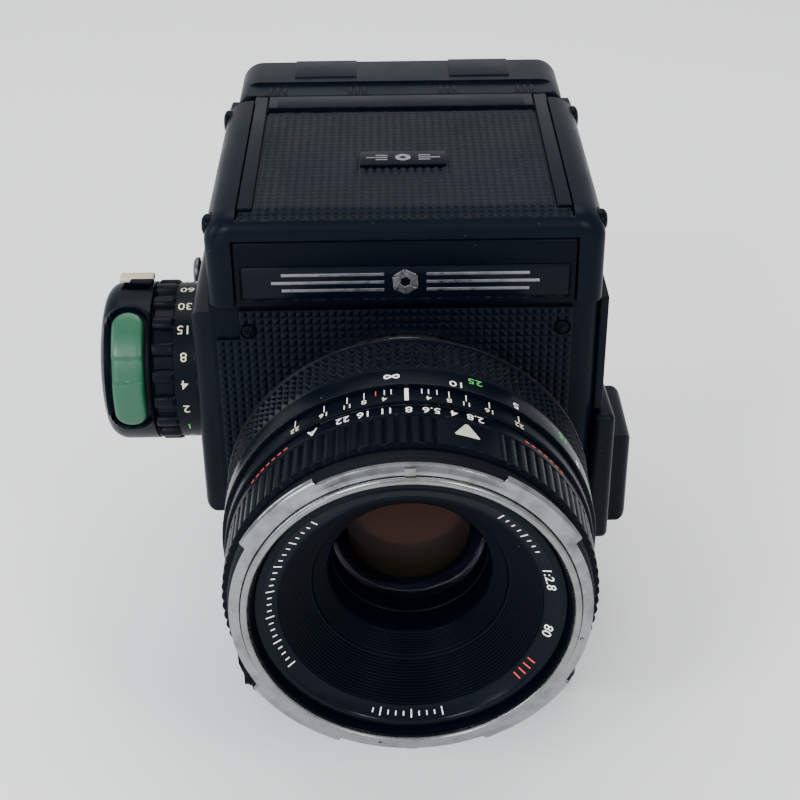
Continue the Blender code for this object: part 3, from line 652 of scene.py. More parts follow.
def leather():
    low, high = span("front_leather")
    across = steps_between(low.x, high.x, PYRAMID)
    upwards = steps_between(low.z + 0.5, high.z, PYRAMID)
    bm = lattice(across, upwards, lambda x, z, h: Vector((x, FRONT + 0.45 - h, z)),
                 in_leather, 0.5, 0.42)
    hole = rod((0, FRONT, AXIS), 31.8, 20.0, "-Y", 128)
    screws = [rod((side * 35.0, FRONT, AXIS + 32.9), 1.95, 9.0, "-Y") for side in (-1, 1)]
    release = rod((33.0, FRONT, 17.0), 5.9, 20.0, "-Y")
    bm = carve(bm, hole, release, *screws)
    piece("grip_panel", bm, "body", GRIP, ["front_leather"], sharp=15.0)


def front_screws():
    for node, x in (("front_screw_left", -35.0), ("front_screw_right", 35.0)):
        z = AXIS + 32.9
        head = revolve(soft([(1.5, FRONT + 0.9), (1.5, FRONT + 0.1), (0.0001, FRONT),
                             (0.0001, FRONT + 0.9)], 0.18),
                       facing(x, z), 40)
        slots = []
        for turn in (20, 110):
            slot = slab((-0.85, -0.25, -0.14), (0.85, 0.45, 0.14))
            bmesh.ops.rotate(slot, verts=slot.verts, cent=(0, 0, 0),
                             matrix=Matrix.Rotation(math.radians(turn), 3, 'Y'))
            bmesh.ops.translate(slot, verts=slot.verts, vec=(x, FRONT, z))
            slots.append(slot)
        piece(node + "_head", carve(head, *slots), "body", ANODISED, [node])


def base():
    low, high = span("base_plate")
    bush_low, bush_high = span("tripod_bush")
    bush = (bush_low + bush_high) / 2
    bm = slab(low, high)
    corners = [e for e in bm.edges if abs(e.verts[0].co.z - e.verts[1].co.z) > 1]
    round_edges(bm, corners, 5.0, 8)
    rim = [e for e in bm.edges if all(v.co.z < low.z + 0.01 for v in e.verts)]
    round_edges(bm, rim, 1.6, 4)
    cutters = [tuck_under(), rod((bush.x, bush.y, 0), 6.3, 12.0, "Z", 64)]
    for x in (-26.0, 26.0):
        cutters.append(slab((x - 6.0, low.y + 8.0, -1.0), (x + 6.0, high.y - 8.0, 0.35)))
    pads = [slab((x - 5.6, low.y + 8.4 + k * 3.0, 0.08), (x + 5.6, low.y + 9.9 + k * 3.0, 0.6))
            for x in (-26.0, 26.0) for k in range(int((high.y - low.y - 18.0) / 3.0))]
    piece("bottom_plate", carve(bm, *cutters), "body", PAINT, ["base_plate"])
    piece("foot_strips", joined(*pads), "body", MOULDED)
    thread = [(3.3 + 0.25 * (k % 2), 0.35 + k * 0.4) for k in range(24)]
    profile = ([(6.0, bush_high.z), (6.0, 0.3), (5.6, 0.0), (3.6, 0.0)] + thread
               + [(3.3, bush_high.z)])
    bm = revolve(profile, upright(bush.x, bush.y), 64)
    piece("tripod_socket", bm, "body", STEEL, ["tripod_bush"])


def side_housings():
    low, high = span("left_side_housing")
    bm = slab(low, (-43.3, high.y, high.z))
    outer = [e for e in bm.edges if all(v.co.x < low.x + 1 for v in e.verts)]
    round_edges(bm, outer, 2.8, 6)
    bore = rod((low.x, DIAL_Y, DIAL_Z), 6.3, 9.0, "X", 64)
    piece("left_cover", carve(bm, bore), "body", MOULDED,
          ["left_side_housing"])

    low, high = span("right_side_cover")
    pocket = span("release_housing")
    bm = slab((low.x - 0.4, low.y, low.z), high, 0.3, 3)
    cuts = [slab((low.x - 4, pocket[0].y - 10, pocket[0].z - 1.0),
                 (high.x + 9, pocket[1].y + 0.6, pocket[1].z + 0.9))]
    for k in range(7):
        z = low.z + 10.0 + k * 2.2
        cuts.append(slab((high.x - 0.5, high.y - 22.0, z), (high.x + 2, high.y - 4.0, z + 0.9)))
    piece("right_cover", carve(bm, *cuts), "body", MOULDED,
          ["right_side_cover"])

    low, high = span("release_housing")
    bm = slab((low.x - 0.6, low.y, low.z), high, 1.7, 6)
    for vert in bm.verts:
        back = (vert.co.y - low.y) / (high.y - low.y)
        if vert.co.x > high.x - 2.0:
            vert.co.x -= 1.1 * back
    piece("release_cover", bm, "body", MOULDED, ["release_housing"])

    low, high = span("grip_block")
    bm = slab(low, high)
    outer = [e for e in bm.edges if all(v.co.x > high.x - 1 for v in e.verts)]
    round_edges(bm, outer, 2.6, 6)
    piece("grip_mount", bm, "body", MOULDED, ["grip_block"])


def strap_studs():
    for node, side in (("strap_lug_left", -1.0), ("strap_lug_right", 1.0)):
        low, high = span(node)
        middle = (low + high) / 2
        near, far = (high.x, low.x) if side < 0 else (low.x, high.x)
        length = abs(far - near)
        start = abs(near)
        profile = [(0.0001, length), (3.2, length), (4.0, length - 0.6), (4.0, length - 1.5),
                   (2.2, length - 1.9), (2.2, 0.9), (3.4, 0.5), (3.4, 0.0), (0.0001, 0.0)]
        profile = [(r, start + d) for r, d in soft(profile, 0.3)]
        bm = revolve(profile, sideways(middle.y, middle.z, side), 48)
        piece(node + "_stud", bm, "body", DARK_STEEL, [node])


def mount_ring():
    profile = soft([(31.4, 0.8), (31.4, -1.0), (26.7, -1.0), (26.7, -6.0), (24.6, -6.0),
                    (24.6, 0.8)], 0.2)
    piece("bayonet_ring", revolve(profile, lens), "body", STEEL,
          ["lens_mount_ring"])


def release_button():
    low, high = span("release_button")
    middle = (low + high) / 2
    place = facing(middle.x, middle.z)
    profile = [(0.0001, low.y + 0.5), (2.6, low.y + 0.32), (4.1, low.y + 0.05),
               (4.9, low.y + 0.3), (5.2, low.y + 0.9), (5.2, high.y), (0.0001, high.y)]
    bm = revolve(soft(profile, 0.3), place, 64)
    piece("shutter_release", bm, "release_button", CHROME, ["release_button"])


# ---------------------------------------------------------------- finder

LID_SLOPE_START = 1.5              # distances behind the front panel
LID_SLOPE = math.tan(math.radians(13.0))
LID_PANEL_END = 55.6
BROW_BACK = -2.6


def lid_height(y, top):
    return top - max(0.0, FRONT + LID_SLOPE_START - y) * LID_SLOPE


def shoulders(low, high, side_radius, front_radius, breaks=()):
    """Block with rounded side shoulders whose whole front outline is rolled over."""
    places = [(front_radius * (1 - math.sin(math.radians(15 * k))),
               low.y + front_radius * (1 - math.cos(math.radians(15 * k))))
              for k in range(7)]
    places += [(0.0, y) for y in breaks] + [(0.0, high.y)]
    bm = bmesh.new()
    rows = []
    for inset, y in places:
        outline = [(-high.x + inset, low.z)]
        for side, turns in ((-1, range(11)), (1, range(10, -1, -1))):
            for k in turns:
                a = math.radians(9 * k)
                radius = side_radius - inset
                outline.append((side * (high.x - side_radius + radius * math.cos(a)),
                                high.z - side_radius + radius * math.sin(a)))
        outline.append((high.x - inset, low.z))
        rows.append([bm.verts.new((x, y, z)) for x, z in outline])
    for a, b in zip(rows, rows[1:]):
        for i in range(len(a)):
            j = (i + 1) % len(a)
            bm.faces.new((a[i], a[j], b[j], b[i]))
    bm.faces.new(rows[0])
    bm.faces.new(list(reversed(rows[-1])))
    bmesh.ops.recalc_face_normals(bm, faces=bm.faces)
    return bm


def finder():
    low, high = span("finder_housing")
    bm = shoulders(low, high, 6.2, 3.4, (FRONT + LID_SLOPE_START,))
    plate = span("nameplate_block")
    well = slab((-36.2, FRONT + 1.4, low.z - 5), (36.2, high.y - 2.2, high.z + 5))
    window = slab((-37.3, low.y - 5, low.z - 5), (37.3, low.y + 3.2, plate[1].z + 0.3))
    lip = slab((-36.2, FRONT + BROW_BACK, span("hood_lid")[0].z - 0.3),
               (36.2, high.y + 5, high.z + 5))
    notches = both_sides(36.0, 45.0, (FRONT + 62.6, high.z - 2.6), (high.y + 3, high.z + 3))
    for vert in bm.verts:
        share = min(1.0, max(0.0, (vert.co.z - high.z + 10.0) / 6.0))
        vert.co.z -= share * (vert.co.z - lid_height(vert.co.y, vert.co.z))
    pins = [rod((side * 41.7, FRONT + 2.0, AXIS + 58.4), 2.75, 5.0, "X", 40)
            for side in (-1, 1)]
    bm = carve(bm, well, window, lip, *notches, *pins)
    piece("finder_shell", bm, "body", PAINT, ["finder_housing"])
    for side, label in ((-1.0, "left"), (1.0, "right")):
        profile = soft([(0.0001, high.x + 0.6), (1.9, high.x + 0.5), (3.0, high.x - 0.2),
                        (3.0, 40.6), (0.0001, 40.6)], 0.4)
        bm = revolve(profile, sideways(FRONT + 60.8, AXIS + 58.0, side), 48)
        piece("hinge_boss_" + label, bm, "body", ANODISED)


def hood_buttons():
    for node, body, side in (("hood_button_left", "left_hood_button", -1.0),
                             ("hood_button_right", "right_hood_button", 1.0)):
        low, high = span(node)
        outer = max(abs(low.x), abs(high.x)) - 0.5
        inner = min(abs(low.x), abs(high.x))
        middle = (low + high) / 2
        profile = soft([(0.0001, outer), (1.6, outer - 0.15), (2.45, outer - 0.9),
                        (2.45, inner), (0.0001, inner)], 0.4)
        bm = revolve(profile, sideways(middle.y, middle.z, side), 40)
        piece(node + "_cap", bm, body, ANODISED, [node])


def ornament(middle, reach, height, place):
    """Blank-plate trim: an iris emblem between two groups of slim bars."""
    whole = bmesh.new()
    blades = 6
    for k in range(blades):
        start = math.tau * k / blades
        part = bmesh.new()
        ring = []
        for radius, turn in ((height, 0.0), (height, math.tau / blades - 0.12),
                             (height * 0.46, math.tau / blades + 0.35),
                             (height * 0.38, 0.30)):
            ring.append((middle[0] + radius * math.sin(start + turn),
                         middle[1] + radius * math.cos(start + turn)))
        lower = [part.verts.new(place(x, z, -0.05)) for x, z in ring]
        upper = [part.verts.new(place(x, z, 0.12)) for x, z in ring]
        part.faces.new(upper)
        part.faces.new(list(reversed(lower)))
        for i in range(4):
            j = (i + 1) % 4
            part.faces.new((lower[i], lower[j], upper[j], upper[i]))
        add_bm(whole, part)
    for side in (-1, 1):
        for row in (-1, 0, 1):
            near = middle[0] + side * (height + 1.6)
            far = middle[0] + side * (reach - 2.2 * abs(row))
            z = middle[1] + row * height * 0.62
            add_bar(whole, (min(near, far), z - height * 0.115),
                    (max(near, far), z + height * 0.115), place, 0.1, 2)
    return whole


def nameplate():
    low, high = span("nameplate_block")
    bm = slab(low, high, 0.7, 4)
    recess = slab((-35.7, low.y - 3, AXIS + 43.1), (35.7, low.y + 0.45, AXIS + 51.3))
    bm = carve(bm, recess)
    piece("front_plate", bm, "body", ANODISED, ["nameplate_block"])
    inlay = slab((-35.4, low.y + 0.2, AXIS + 43.4), (35.4, low.y + 0.6, AXIS + 51.0), 0.15, 2)
    piece("plate_inlay", inlay, "body", NAME_FACE)
    bm = ornament((0.0, AXIS + 47.2), 29.0, 3.0,
                  lambda x, z, h: Vector((x, low.y + 0.18 - h, z)))
    piece("plate_trim", bm, "body", SILVER)


def lid():
    low, high = span("hood_lid")
    panel_high = span("lid_panel")[1]
    front = FRONT + BROW_BACK + 0.08
    bm = slab((low.x, front, low.z), high, 0.2, 2)
    tray = slab((low.x - 1, front - 2, high.z - 0.95),
                (high.x + 1, FRONT + LID_PANEL_END + 2.6, high.z + 3))
    groove = slab((low.x + 3.0, FRONT + LID_PANEL_END, high.z - 1.3),
                  (high.x - 3.0, FRONT + LID_PANEL_END + 2.6, high.z + 3))
    rails_cut = both_sides(32.4, 35.65, (FRONT + 0.4, high.z - 0.95), (high.y + 3, high.z + 3))
    bm = carve(bm, tray, groove, *rails_cut)
    for vert in bm.verts:
        if vert.co.z > high.z - 1.2 and vert.co.y < FRONT + LID_SLOPE_START:
            vert.co.z = min(vert.co.z, lid_height(vert.co.y, high.z - 0.2))
    piece("lid_shell", bm, "lid", PAINT, ["hood_lid"])

    across = steps_between(-35.7, 35.7, PYRAMID)
    slope_rows = steps_between(front + 0.1, FRONT + 0.6, PYRAMID)
    flat_rows = steps_between(FRONT + 0.6, FRONT + LID_PANEL_END, PYRAMID)
    rows = slope_rows + flat_rows[1:]
    base_z = panel_high.z - 0.55
    bm = lattice(across, rows,
                 lambda x, y, h: Vector((x, y, lid_height(y, base_z) + h)),
                 lambda x, y: abs(x) < 32.4 or y < FRONT + 0.5, 0.35, 0.42)
    piece("lid_grip", bm, "lid", GRIP, ["lid_panel"], sharp=15.0)

    rails = both_sides(32.75, 36.05, (FRONT + 1.1, high.z - 0.9),
                       (high.y - 0.2, high.z - 0.02), 0.42, 4)
    piece("lid_rails", joined(*rails), "lid", PAINT)
    bar = slab((-30.5, FRONT + LID_PANEL_END + 2.7, high.z - 0.6),
               (30.5, FRONT + 65.2, high.z + 0.1), 0.35, 3)
    piece("lid_cross_bar", bar, "lid", PAINT)

    low, high = span("lid_badge")
    bm = slab((low.x, low.y, low.z - 0.5), (high.x, high.y, high.z - 0.05), 0.25, 3)
    piece("badge_plate", bm, "lid", ANODISED, ["lid_badge"])
    bm = ornament((0.0, (low.y + high.y) / 2), 8.4, 1.9,
                  lambda x, y, h: Vector((x, y, high.z - 0.09 + h * 0.7)))
    piece("badge_trim", bm, "lid", SILVER)


def hinge_pin():
    low, high = span("hinge_pin")
    middle = (low + high) / 2
    outer = [(0.0001, high.x), (0.6, high.x)]
    for centre in (31.0, 12.0, -10.0, -31.0):
        outer += [(0.6, centre + 3.2), (0.75, centre + 3.0), (0.75, centre + 0.2),
                  (0.6, centre), (0.75, centre - 0.2), (0.75, centre - 3.0),
                  (0.6, centre - 3.2)]
    outer += [(0.6, low.x), (0.0001, low.x)]
    bm = revolve(outer, sideways(middle.y, middle.z), 24)
    piece("lid_pin", bm, "body", ANODISED, ["hinge_pin"])


def deck():
    low, high = span("rear_deck")
    bm = shoulders(low, high, 5.6, 0.8)
    back = [e for e in bm.edges if all(v.co.y > high.y - 0.01 for v in e.verts)
            and max(v.co.z for v in e.verts) > high.z - 5.7 and e.calc_length() < 80
            and min(v.co.z for v in e.verts) > high.z - 8]
    round_edges(bm, back, 1.6, 5)
    tongue = slab((-36.0, FRONT + 68.3, high.z - 2.2), (36.0, low.y + 1.0, high.z - 0.85))
    hollow = slab((low.x + 2.5, low.y + 2.5, low.z - 5),
                  (high.x - 2.5, high.y - 2.5, high.z - 3.5))
    step = slab((low.x - 2, low.y - 1, high.z - 0.75), (high.x + 2, FRONT + 76.7, high.z + 2))
    bm = carve(bm, hollow, step)
    piece("deck_shell", joined(bm, tongue), "body", PAINT, ["rear_deck"])
    plates = [slab((a, FRONT + 79.6, high.z - 1.2), (b, high.y - 1.2, high.z + 0.35), 0.3, 3)
              for a, b in ((-27.0, -11.2), (12.6, 28.0))]
    piece("deck_plates", joined(*plates), "body", MOULDED)
    knuckles = []
    for centre in (-31.0, -10.9, 11.9, 31.4):
        for k in (-1, 0, 1):
            x = centre + k * 1.75
            knuckles.append(slab((x - 0.6, FRONT + 69.6, high.z - 1.2),
                                 (x + 0.6, FRONT + 75.2, high.z - 0.55), 0.25, 3))
    piece("deck_knuckles", joined(*knuckles), "body", PAINT)


def folding_flaps():
    for node, body, side in (("side_flap_left", "left_flap", -1.0),
                             ("side_flap_right", "right_flap", 1.0)):
        low, high = span(node)
        edge = low.x if side < 0 else high.x
        tip = high.x if side < 0 else low.x
        width = abs(edge - tip)
        outline = [(edge, low.y), (tip, low.y), (tip, high.y - width), (edge, high.y)]
        bm = sheet_plate(outline, low.z, high.z)
        rim = rod_along((edge, low.y + 1, high.z - 0.4), (edge, high.y - 3.0, high.z - 0.4), 0.35)
        piece(node + "_sheet", joined(bm, rim), body, PAINT, [node])
    low, high = span("front_flap")
    narrow = high.x - (high.y - low.y) - 1.0
    outline = [(-high.x, low.y), (high.x, low.y), (narrow, high.y), (-narrow, high.y)]
    piece("front_flap_sheet", sheet_plate(outline, low.z, high.z), "front_flap",
          PAINT, ["front_flap"])


def sheet_plate(outline, z_low, z_high):
    """Flat plate with a pressed border."""
    bm = bmesh.new()
    lower = [bm.verts.new((x, y, z_low)) for x, y in outline]
    upper = [bm.verts.new((x, y, z_high)) for x, y in outline]
    top = bm.faces.new(upper)
    bm.faces.new(list(reversed(lower)))
    count = len(outline)
    for i in range(count):
        j = (i + 1) % count
        bm.faces.new((lower[i], lower[j], upper[j], upper[i]))
    bmesh.ops.inset_region(bm, faces=[top], thickness=2.0, depth=0.0)
    bmesh.ops.inset_region(bm, faces=[top], thickness=0.4, depth=-0.25)
    return bm


def rod_along(start, end, radius, sides=16):
    start = Vector(start)
    end = Vector(end)
    bm = bmesh.new()
    turn = (end - start).to_track_quat('Z', 'Y').to_matrix().to_4x4()
    bmesh.ops.create_cone(bm, cap_ends=True, segments=sides, radius1=radius, radius2=radius,
                          depth=(end - start).length,
                          matrix=Matrix.Translation((start + end) / 2) @ turn)
    return bm


def magnifier():
    low, high = span("magnifier_plate")
    centre_y = (span("magnifier_lens")[0].y + span("magnifier_lens")[1].y) / 2
    middle_z = (low.z + high.z) / 2
    bm = slab(low, high, 0.4, 3)
    hole = rod((0, centre_y, middle_z), 11.0, 20.0, "Z", 96)
    piece("magnifier_frame", carve(bm, hole), "magnifier", PAINT,
          ["magnifier_plate"])
    half = [(10.7 * k / 10, 1.25 - 0.8 * (k / 10) ** 2) for k in range(11)]
    profile = ([(max(r, 0.0001), middle_z + h) for r, h in half]
               + [(max(r, 0.0001), middle_z - h) for r, h in reversed(half)])
    bm = revolve(profile, upright(0, centre_y), 72)
    piece("magnifier_glass", bm, "magnifier", CLEAR_GLASS, ["magnifier_lens"])


def screen():
    low, high = span("focusing_screen")
    bm = slab(low, high, 0.3, 2)
    piece("ground_screen", bm, "body", SCREEN_GLASS, ["focusing_screen"])
    lines = [slab((x - 0.06, low.y + 2, high.z - 0.01), (x + 0.06, high.y - 2, high.z + 0.05))
             for x in (-18.0, 0.0, 18.0)]
    middle = (low.y + high.y) / 2
    lines += [slab((low.x + 2, middle + y - 0.06, high.z - 0.01),
                   (high.x - 2, middle + y + 0.06, high.z + 0.05)) for y in (-18.0, 0.0, 18.0)]
    piece("screen_lines", joined(*lines), "body", MOULDED)
    low, high = span("screen_frame")
    bm = slab(low, high, 0.3, 3)
    opening = slab((-29.0, FRONT + 8.0, low.z - 5), (29.0, FRONT + 60.0, high.z + 5))
    piece("screen_surround", carve(bm, opening), "body", PAINT,
          ["screen_frame"])


def mirror():
    """Mirror, its carrier and the rear light baffle, laid out flat and then tilted."""
    hinge = Vector((0.0, 14.0, 104.5))
    turn = Matrix.Translation(hinge) @ Matrix.Rotation(math.radians(45), 4, 'X')
    carrier = slab((-30.0, -52.0, -2.6), (30.0, 0.0, -0.8), 0.5, 3)
    glass = slab((-28.0, -50.5, -0.5), (28.0, -3.0, 1.2), 0.25, 2)
    ribs = [slab((x - 0.6, -48.0, -2.9), (x + 0.6, -4.0, -2.5), 0.15, 2)
            for x in (-20.0, -10.0, 0.0, 10.0, 20.0)]
    carrier = joined(carrier, *ribs)
    for bm in (carrier, glass):
        bmesh.ops.transform(bm, matrix=turn, verts=bm.verts)
    piece("mirror_frame", carrier, "mirror", DARK_STEEL, ["mirror_carrier"])
    piece("mirror_face", glass, "mirror", MIRROR, ["mirror_glass"])
    low, high = span("rear_baffle")
    bm = slab(low, high, 0.4, 3)
    ribs = [slab((low.x + 2, low.y, z), (high.x - 2, low.y + 0.2, z + 1.2), 0.1, 2)
            for z in steps_between(low.z + 4, high.z - 6, 5.0)]
    cut = carve(bm, *ribs)
    piece("baffle_plate", cut, "baffle", BAFFLE, ["rear_baffle"])


# ---------------------------------------------------------------- side dial

PILL_MIDDLE = math.radians(21.6)
PILL_SPAN = math.radians(44.3)
PILL_OUT = 64.7
PILL_HALF_WIDTH = 3.95
TOOTH_PITCH = 20.0
TOOTH_REACH = 5.3
FIRST_TOOTH = 17.7


def turn_from(angle, middle):
    """Signed difference between two angles."""
    return (angle - middle + math.pi) % math.tau - math.pi


def beside_pill(elevation, out):
    """Distance outside the button's rounded outline on the unrolled drum."""
    along = turn_from(elevation, PILL_MIDDLE) * DRUM_RADIUS
    straight = PILL_SPAN * DRUM_RADIUS - PILL_HALF_WIDTH
    over = max(0.0, abs(along) - straight)
    return math.hypot(over, out - PILL_OUT) - PILL_HALF_WIDTH


def drum_relief(radius, out, elevation):
    """Moat and raised rim round the green button."""
    if radius < DRUM_RADIUS - 5.0 or out < 59.4:
        return radius
    gap = beside_pill(elevation, out)
    if gap > 2.3:
        return radius
    if gap > 1.25:
        return radius + 0.7 * math.sin(math.pi / 2 * (2.3 - gap) / 1.05) ** 2
    if gap > 0.75:
        return radius + 0.7 - 1.9 * (1.25 - gap) / 0.5
    return radius - 1.2


def drum():
    end = -DIAL_LOW.x
    corner = 4.2
    profile = [(0.0001, end), (DRUM_RADIUS - corner - 3.0, end)]
    for k in range(9):
        a = math.radians(90 * k / 8)
        profile.append((DRUM_RADIUS - corner + corner * math.sin(a),
                        end - corner + corner * math.cos(a)))
    flank = steps_between(end - corner, 59.7, 0.2)[1:]
    profile += [(DRUM_RADIUS, out) for out in flank]
    profile += [(DRUM_RADIUS - 0.3, 59.5), (6.0, 59.5), (6.0, 44.6), (0.0001, 44.6)]
    bm = revolve(profile, dial, 560, swell=drum_relief)
    low, high = span("index_slider")
    slot = slab((low.x + 0.8, low.y - 0.3, low.z - 0.2), (high.x - 0.8, high.y + 2.0, high.z + 4))
    bm = carve(bm, slot)
    piece("drum_cap", bm, "body", MOULDED, ["dial_drum"], sharp=40.0)


def pill_outline(inset):
    """Points round the button's outline, (along, across), drawn in by inset."""
    radius = PILL_HALF_WIDTH - 0.28 - inset
    straight = PILL_SPAN * DRUM_RADIUS - PILL_HALF_WIDTH
    points = []
    for sign in (1, -1):
        for k in range(17):
            a = math.radians(-90 + 180 * k / 16)
            points.append((sign * (straight + radius * math.cos(a)),
                           sign * radius * math.sin(a)))
        sides = 48
        for k in range(1, sides):
            points.append((sign * (straight - 2 * straight * k / sides), sign * radius))
    return points


def green_button():
    levels = [(0.0, -1.3), (0.0, 0.25), (0.12, 0.5), (0.4, 0.72), (0.9, 0.82), (1.6, 0.84),
              (2.6, 0.84), (PILL_HALF_WIDTH - 0.3, 0.84)]
    bm = bmesh.new()
    rows = []
    for inset, height in levels:
        row = []
        for along, across in pill_outline(inset):
            elevation = PILL_MIDDLE + along / DRUM_RADIUS
            rise = height
            shift = math.degrees(elevation) - 22.7
            if height > 0:
                rise -= 0.5 * max(0.0, min(1.0, (8.6 - abs(shift)) / 0.5))
            row.append(bm.verts.new(dial(DRUM_RADIUS + rise, elevation, PILL_OUT + across)))
        rows.append(row)
    count = len(rows[0])
    for a, b in zip(rows, rows[1:]):
        for i in range(count):
            j = (i + 1) % count
            bm.faces.new((a[i], a[j], b[j], b[i]))
    half = count // 2
    for ring in (rows[0], rows[-1]):
        for i in range(half - 1):
            j = count - 1 - i
            quad = [ring[(i + 8) % count], ring[(i + 9) % count],
                    ring[(j + 7) % count], ring[(j + 8) % count]]
            corners = list(dict.fromkeys(quad))
            if len(corners) > 2:
                bm.faces.new(corners)
    bmesh.ops.remove_doubles(bm, verts=bm.verts, dist=0.03)
    bmesh.ops.holes_fill(bm, edges=bm.edges, sides=0)
    piece("green_press_button", bm, "mode_button", GREEN, ["mode_button"],
          sharp=28.0)


def toothed(radius, out, elevation):
    """Rounded teeth on the outer half of the ring."""
    if radius < 19.1 or out < 53.9:
        return radius
    phase = (math.degrees(elevation) - FIRST_TOOTH + TOOTH_PITCH / 2) % TOOTH_PITCH
    off = abs(phase - TOOTH_PITCH / 2) / TOOTH_REACH
    return radius - 1.6 * (1 - (1 - off ** 3) ** 0.5 if off < 1 else 1)


def speed_ring():
    low, high = span("shutter_dial")
    inner, outer = -high.x, -low.x
    profile = [(6.6, outer), (18.6, outer), (19.15, outer - 0.1), (19.4, outer - 0.5),
               (19.4, 54.9), (19.2, 54.3), (18.85, 53.9), (18.8, 53.7), (18.8, inner + 0.2),
               (18.6, inner), (6.6, inner)]
    bm = revolve(profile, dial, 720, swell=toothed)
    piece("speed_ring", bm, "speed_dial", MOULDED, ["shutter_dial"],
          sharp=30.0)
    white = bmesh.new()
    green = bmesh.new()
    middle = (inner + 53.7) / 2 + 0.45
    values = ["30", "15", "8", "4", "2", "1", "2", "4", "8", "15", "30", "60", "125",
              "250", "500", "B"]
    first = 11.5 - 7 * TOOTH_PITCH
    for k, value in enumerate(values):
        spot = on_dial(first + k * TOOTH_PITCH, 18.8, middle)
        wide = 1.15 if len(value) < 3 else 0.95
        add_text(green if k < 6 else white, value, 2.15, spot, wide)
    piece("speed_numbers", white, "speed_dial", IVORY_INK)
    piece("slow_speed_numbers", green, "speed_dial", GREEN_INK)


def cream_slider():
    low, high = span("index_slider")
    flange = slab((low.x, low.y + 2.4, high.z - 1.35), (high.x, high.y - 0.4, high.z), 0.5, 4)
    stem = slab((low.x + 1.4, low.y + 2.9, low.z), (high.x - 1.4, high.y - 1.2, high.z - 0.6))
    piece("cream_tab", joined(flange, stem), "index_slider", CREAM,
          ["index_slider"])
    pointer = slab((low.x + 2.6, low.y + 0.9, high.z - 1.35), (high.x, low.y + 3.1, high.z - 0.1),
                   0.5, 4)
    for vert in pointer.verts:
        if vert.co.x < low.x + 3.6:
            vert.co.y += 0.7
    skirt = slab((low.x + 1.0, low.y + 2.3, low.z), (high.x - 1.0, low.y + 2.85, high.z - 0.9))
    piece("tab_pointer", joined(pointer, skirt), "index_slider", MOULDED)


# ---------------------------------------------------------------- lens

def core_barrel():
    profile = [(20.0, 33.0), (32.6, 33.0), (33.0, 32.6), (36.0, 15.6), (35.6, 15.2),
               (34.0, 14.0), (33.4, 12.2), (33.8, 11.8), (33.8, 8.4), (33.2, 8.0),
               (30.6, 6.0), (30.6, 1.2), (24.2, 1.2), (24.2, -7.0), (19.0, -7.0),
               (19.0, 4.0), (18.0, 4.0), (18.0, 24.0), (20.0, 24.0)]
    piece("core_barrel", revolve(soft(profile, 0.15, 2), lens), "body",
          ANODISED, ["lens_core_barrel"])


FOCUS_GRIP = (17.5, 27.2)
FOCUS_CELLS = 128


def focus_ring():
    rows = steps_between(*FOCUS_GRIP, 1.94)
    radius = FOCUS_HIGH.x
    profile = ([(radius - 0.35, 34.8), (radius - 0.3, 34.6), (radius - 0.3, 29.1),
                (radius - 0.5, 28.9), (radius - 1.2, 28.7), (radius - 1.2, 27.7)]
               + [(radius - 0.95, ahead) for ahead in reversed(rows)]
               + [(radius - 0.1, 17.2), (radius, 17.0), (radius, 16.75), (radius - 0.3, 16.6),
                  (37.0, 16.6), (37.0, 34.8)])
    bm = revolve(profile, lens, FOCUS_CELLS)
    cells = [f for f in bm.faces
             if all(abs(math.hypot(v.co.x, v.co.z - AXIS) - radius + 0.95) < 0.01
                    and FRONT - FOCUS_GRIP[1] - 0.01 < v.co.y < FRONT - FOCUS_GRIP[0] + 0.01
                    for v in f.verts)]
    bmesh.ops.recalc_face_normals(bm, faces=bm.faces)
    bmesh.ops.poke(bm, faces=cells, offset=0.9, center_mode='MEAN')
    piece("focus_grip", bm, "focus_ring", KNURL, ["focus_ring"],
          sharp=18.0)
    white = bmesh.new()
    green = bmesh.new()
    spot = on_lens(-4.7, radius - 0.3, 31.8)
    add_infinity(white, spot)
    for value, angle in (("10", 14.4), ("5", 33.4), ("3", 62.0), ("2", 92.0), ("1.5", 122.0),
                         ("1.2", 156.0), ("1", 196.0)):
        add_text(white, value, 2.0, on_lens(angle, radius - 0.3, 33.4), 1.2)
    for value, angle in (("25", 20.1), ("15", 54.0), ("8", 76.0), ("6", 100.0), ("5", 130.0),
                         ("4", 166.0), ("3", 206.0)):
        add_text(green, value, 2.0, on_lens(angle, radius - 0.3, 30.8), 1.2)
    piece("metre_scale", white, "focus_ring", WHITE_INK)
    piece("feet_scale", green, "focus_ring", GREEN_INK)


def add_infinity(bm, spot):
    """A lying figure eight, as a thin band."""
    part = bmesh.new()
    count = 48
    rows = []
    for k in range(count):
        t = math.tau * k / count
        right = 1.45 * math.sin(t)
        up = 0.62 * math.sin(2 * t)
        ahead = Vector((1.45 * math.cos(t), 1.24 * math.cos(2 * t))).normalized() * 0.2
        sides = ((right - ahead.y, up + ahead.x), (right + ahead.y, up - ahead.x))
        rows.append([part.verts.new(spot(x, y, level))
                     for (x, y), level in ((sides[0], -0.02), (sides[0], 0.02),
                                           (sides[1], 0.02), (sides[1], -0.02))])
    for k in range(count):
        a, b = rows[k], rows[(k + 1) % count]
        for i in range(4):
            j = (i + 1) % 4
            part.faces.new((a[i], a[j], b[j], b[i]))
    add_bm(bm, part)


STOP_STEP = 6.7                    # degrees between whole apertures
INDEX_ANGLE = -0.5


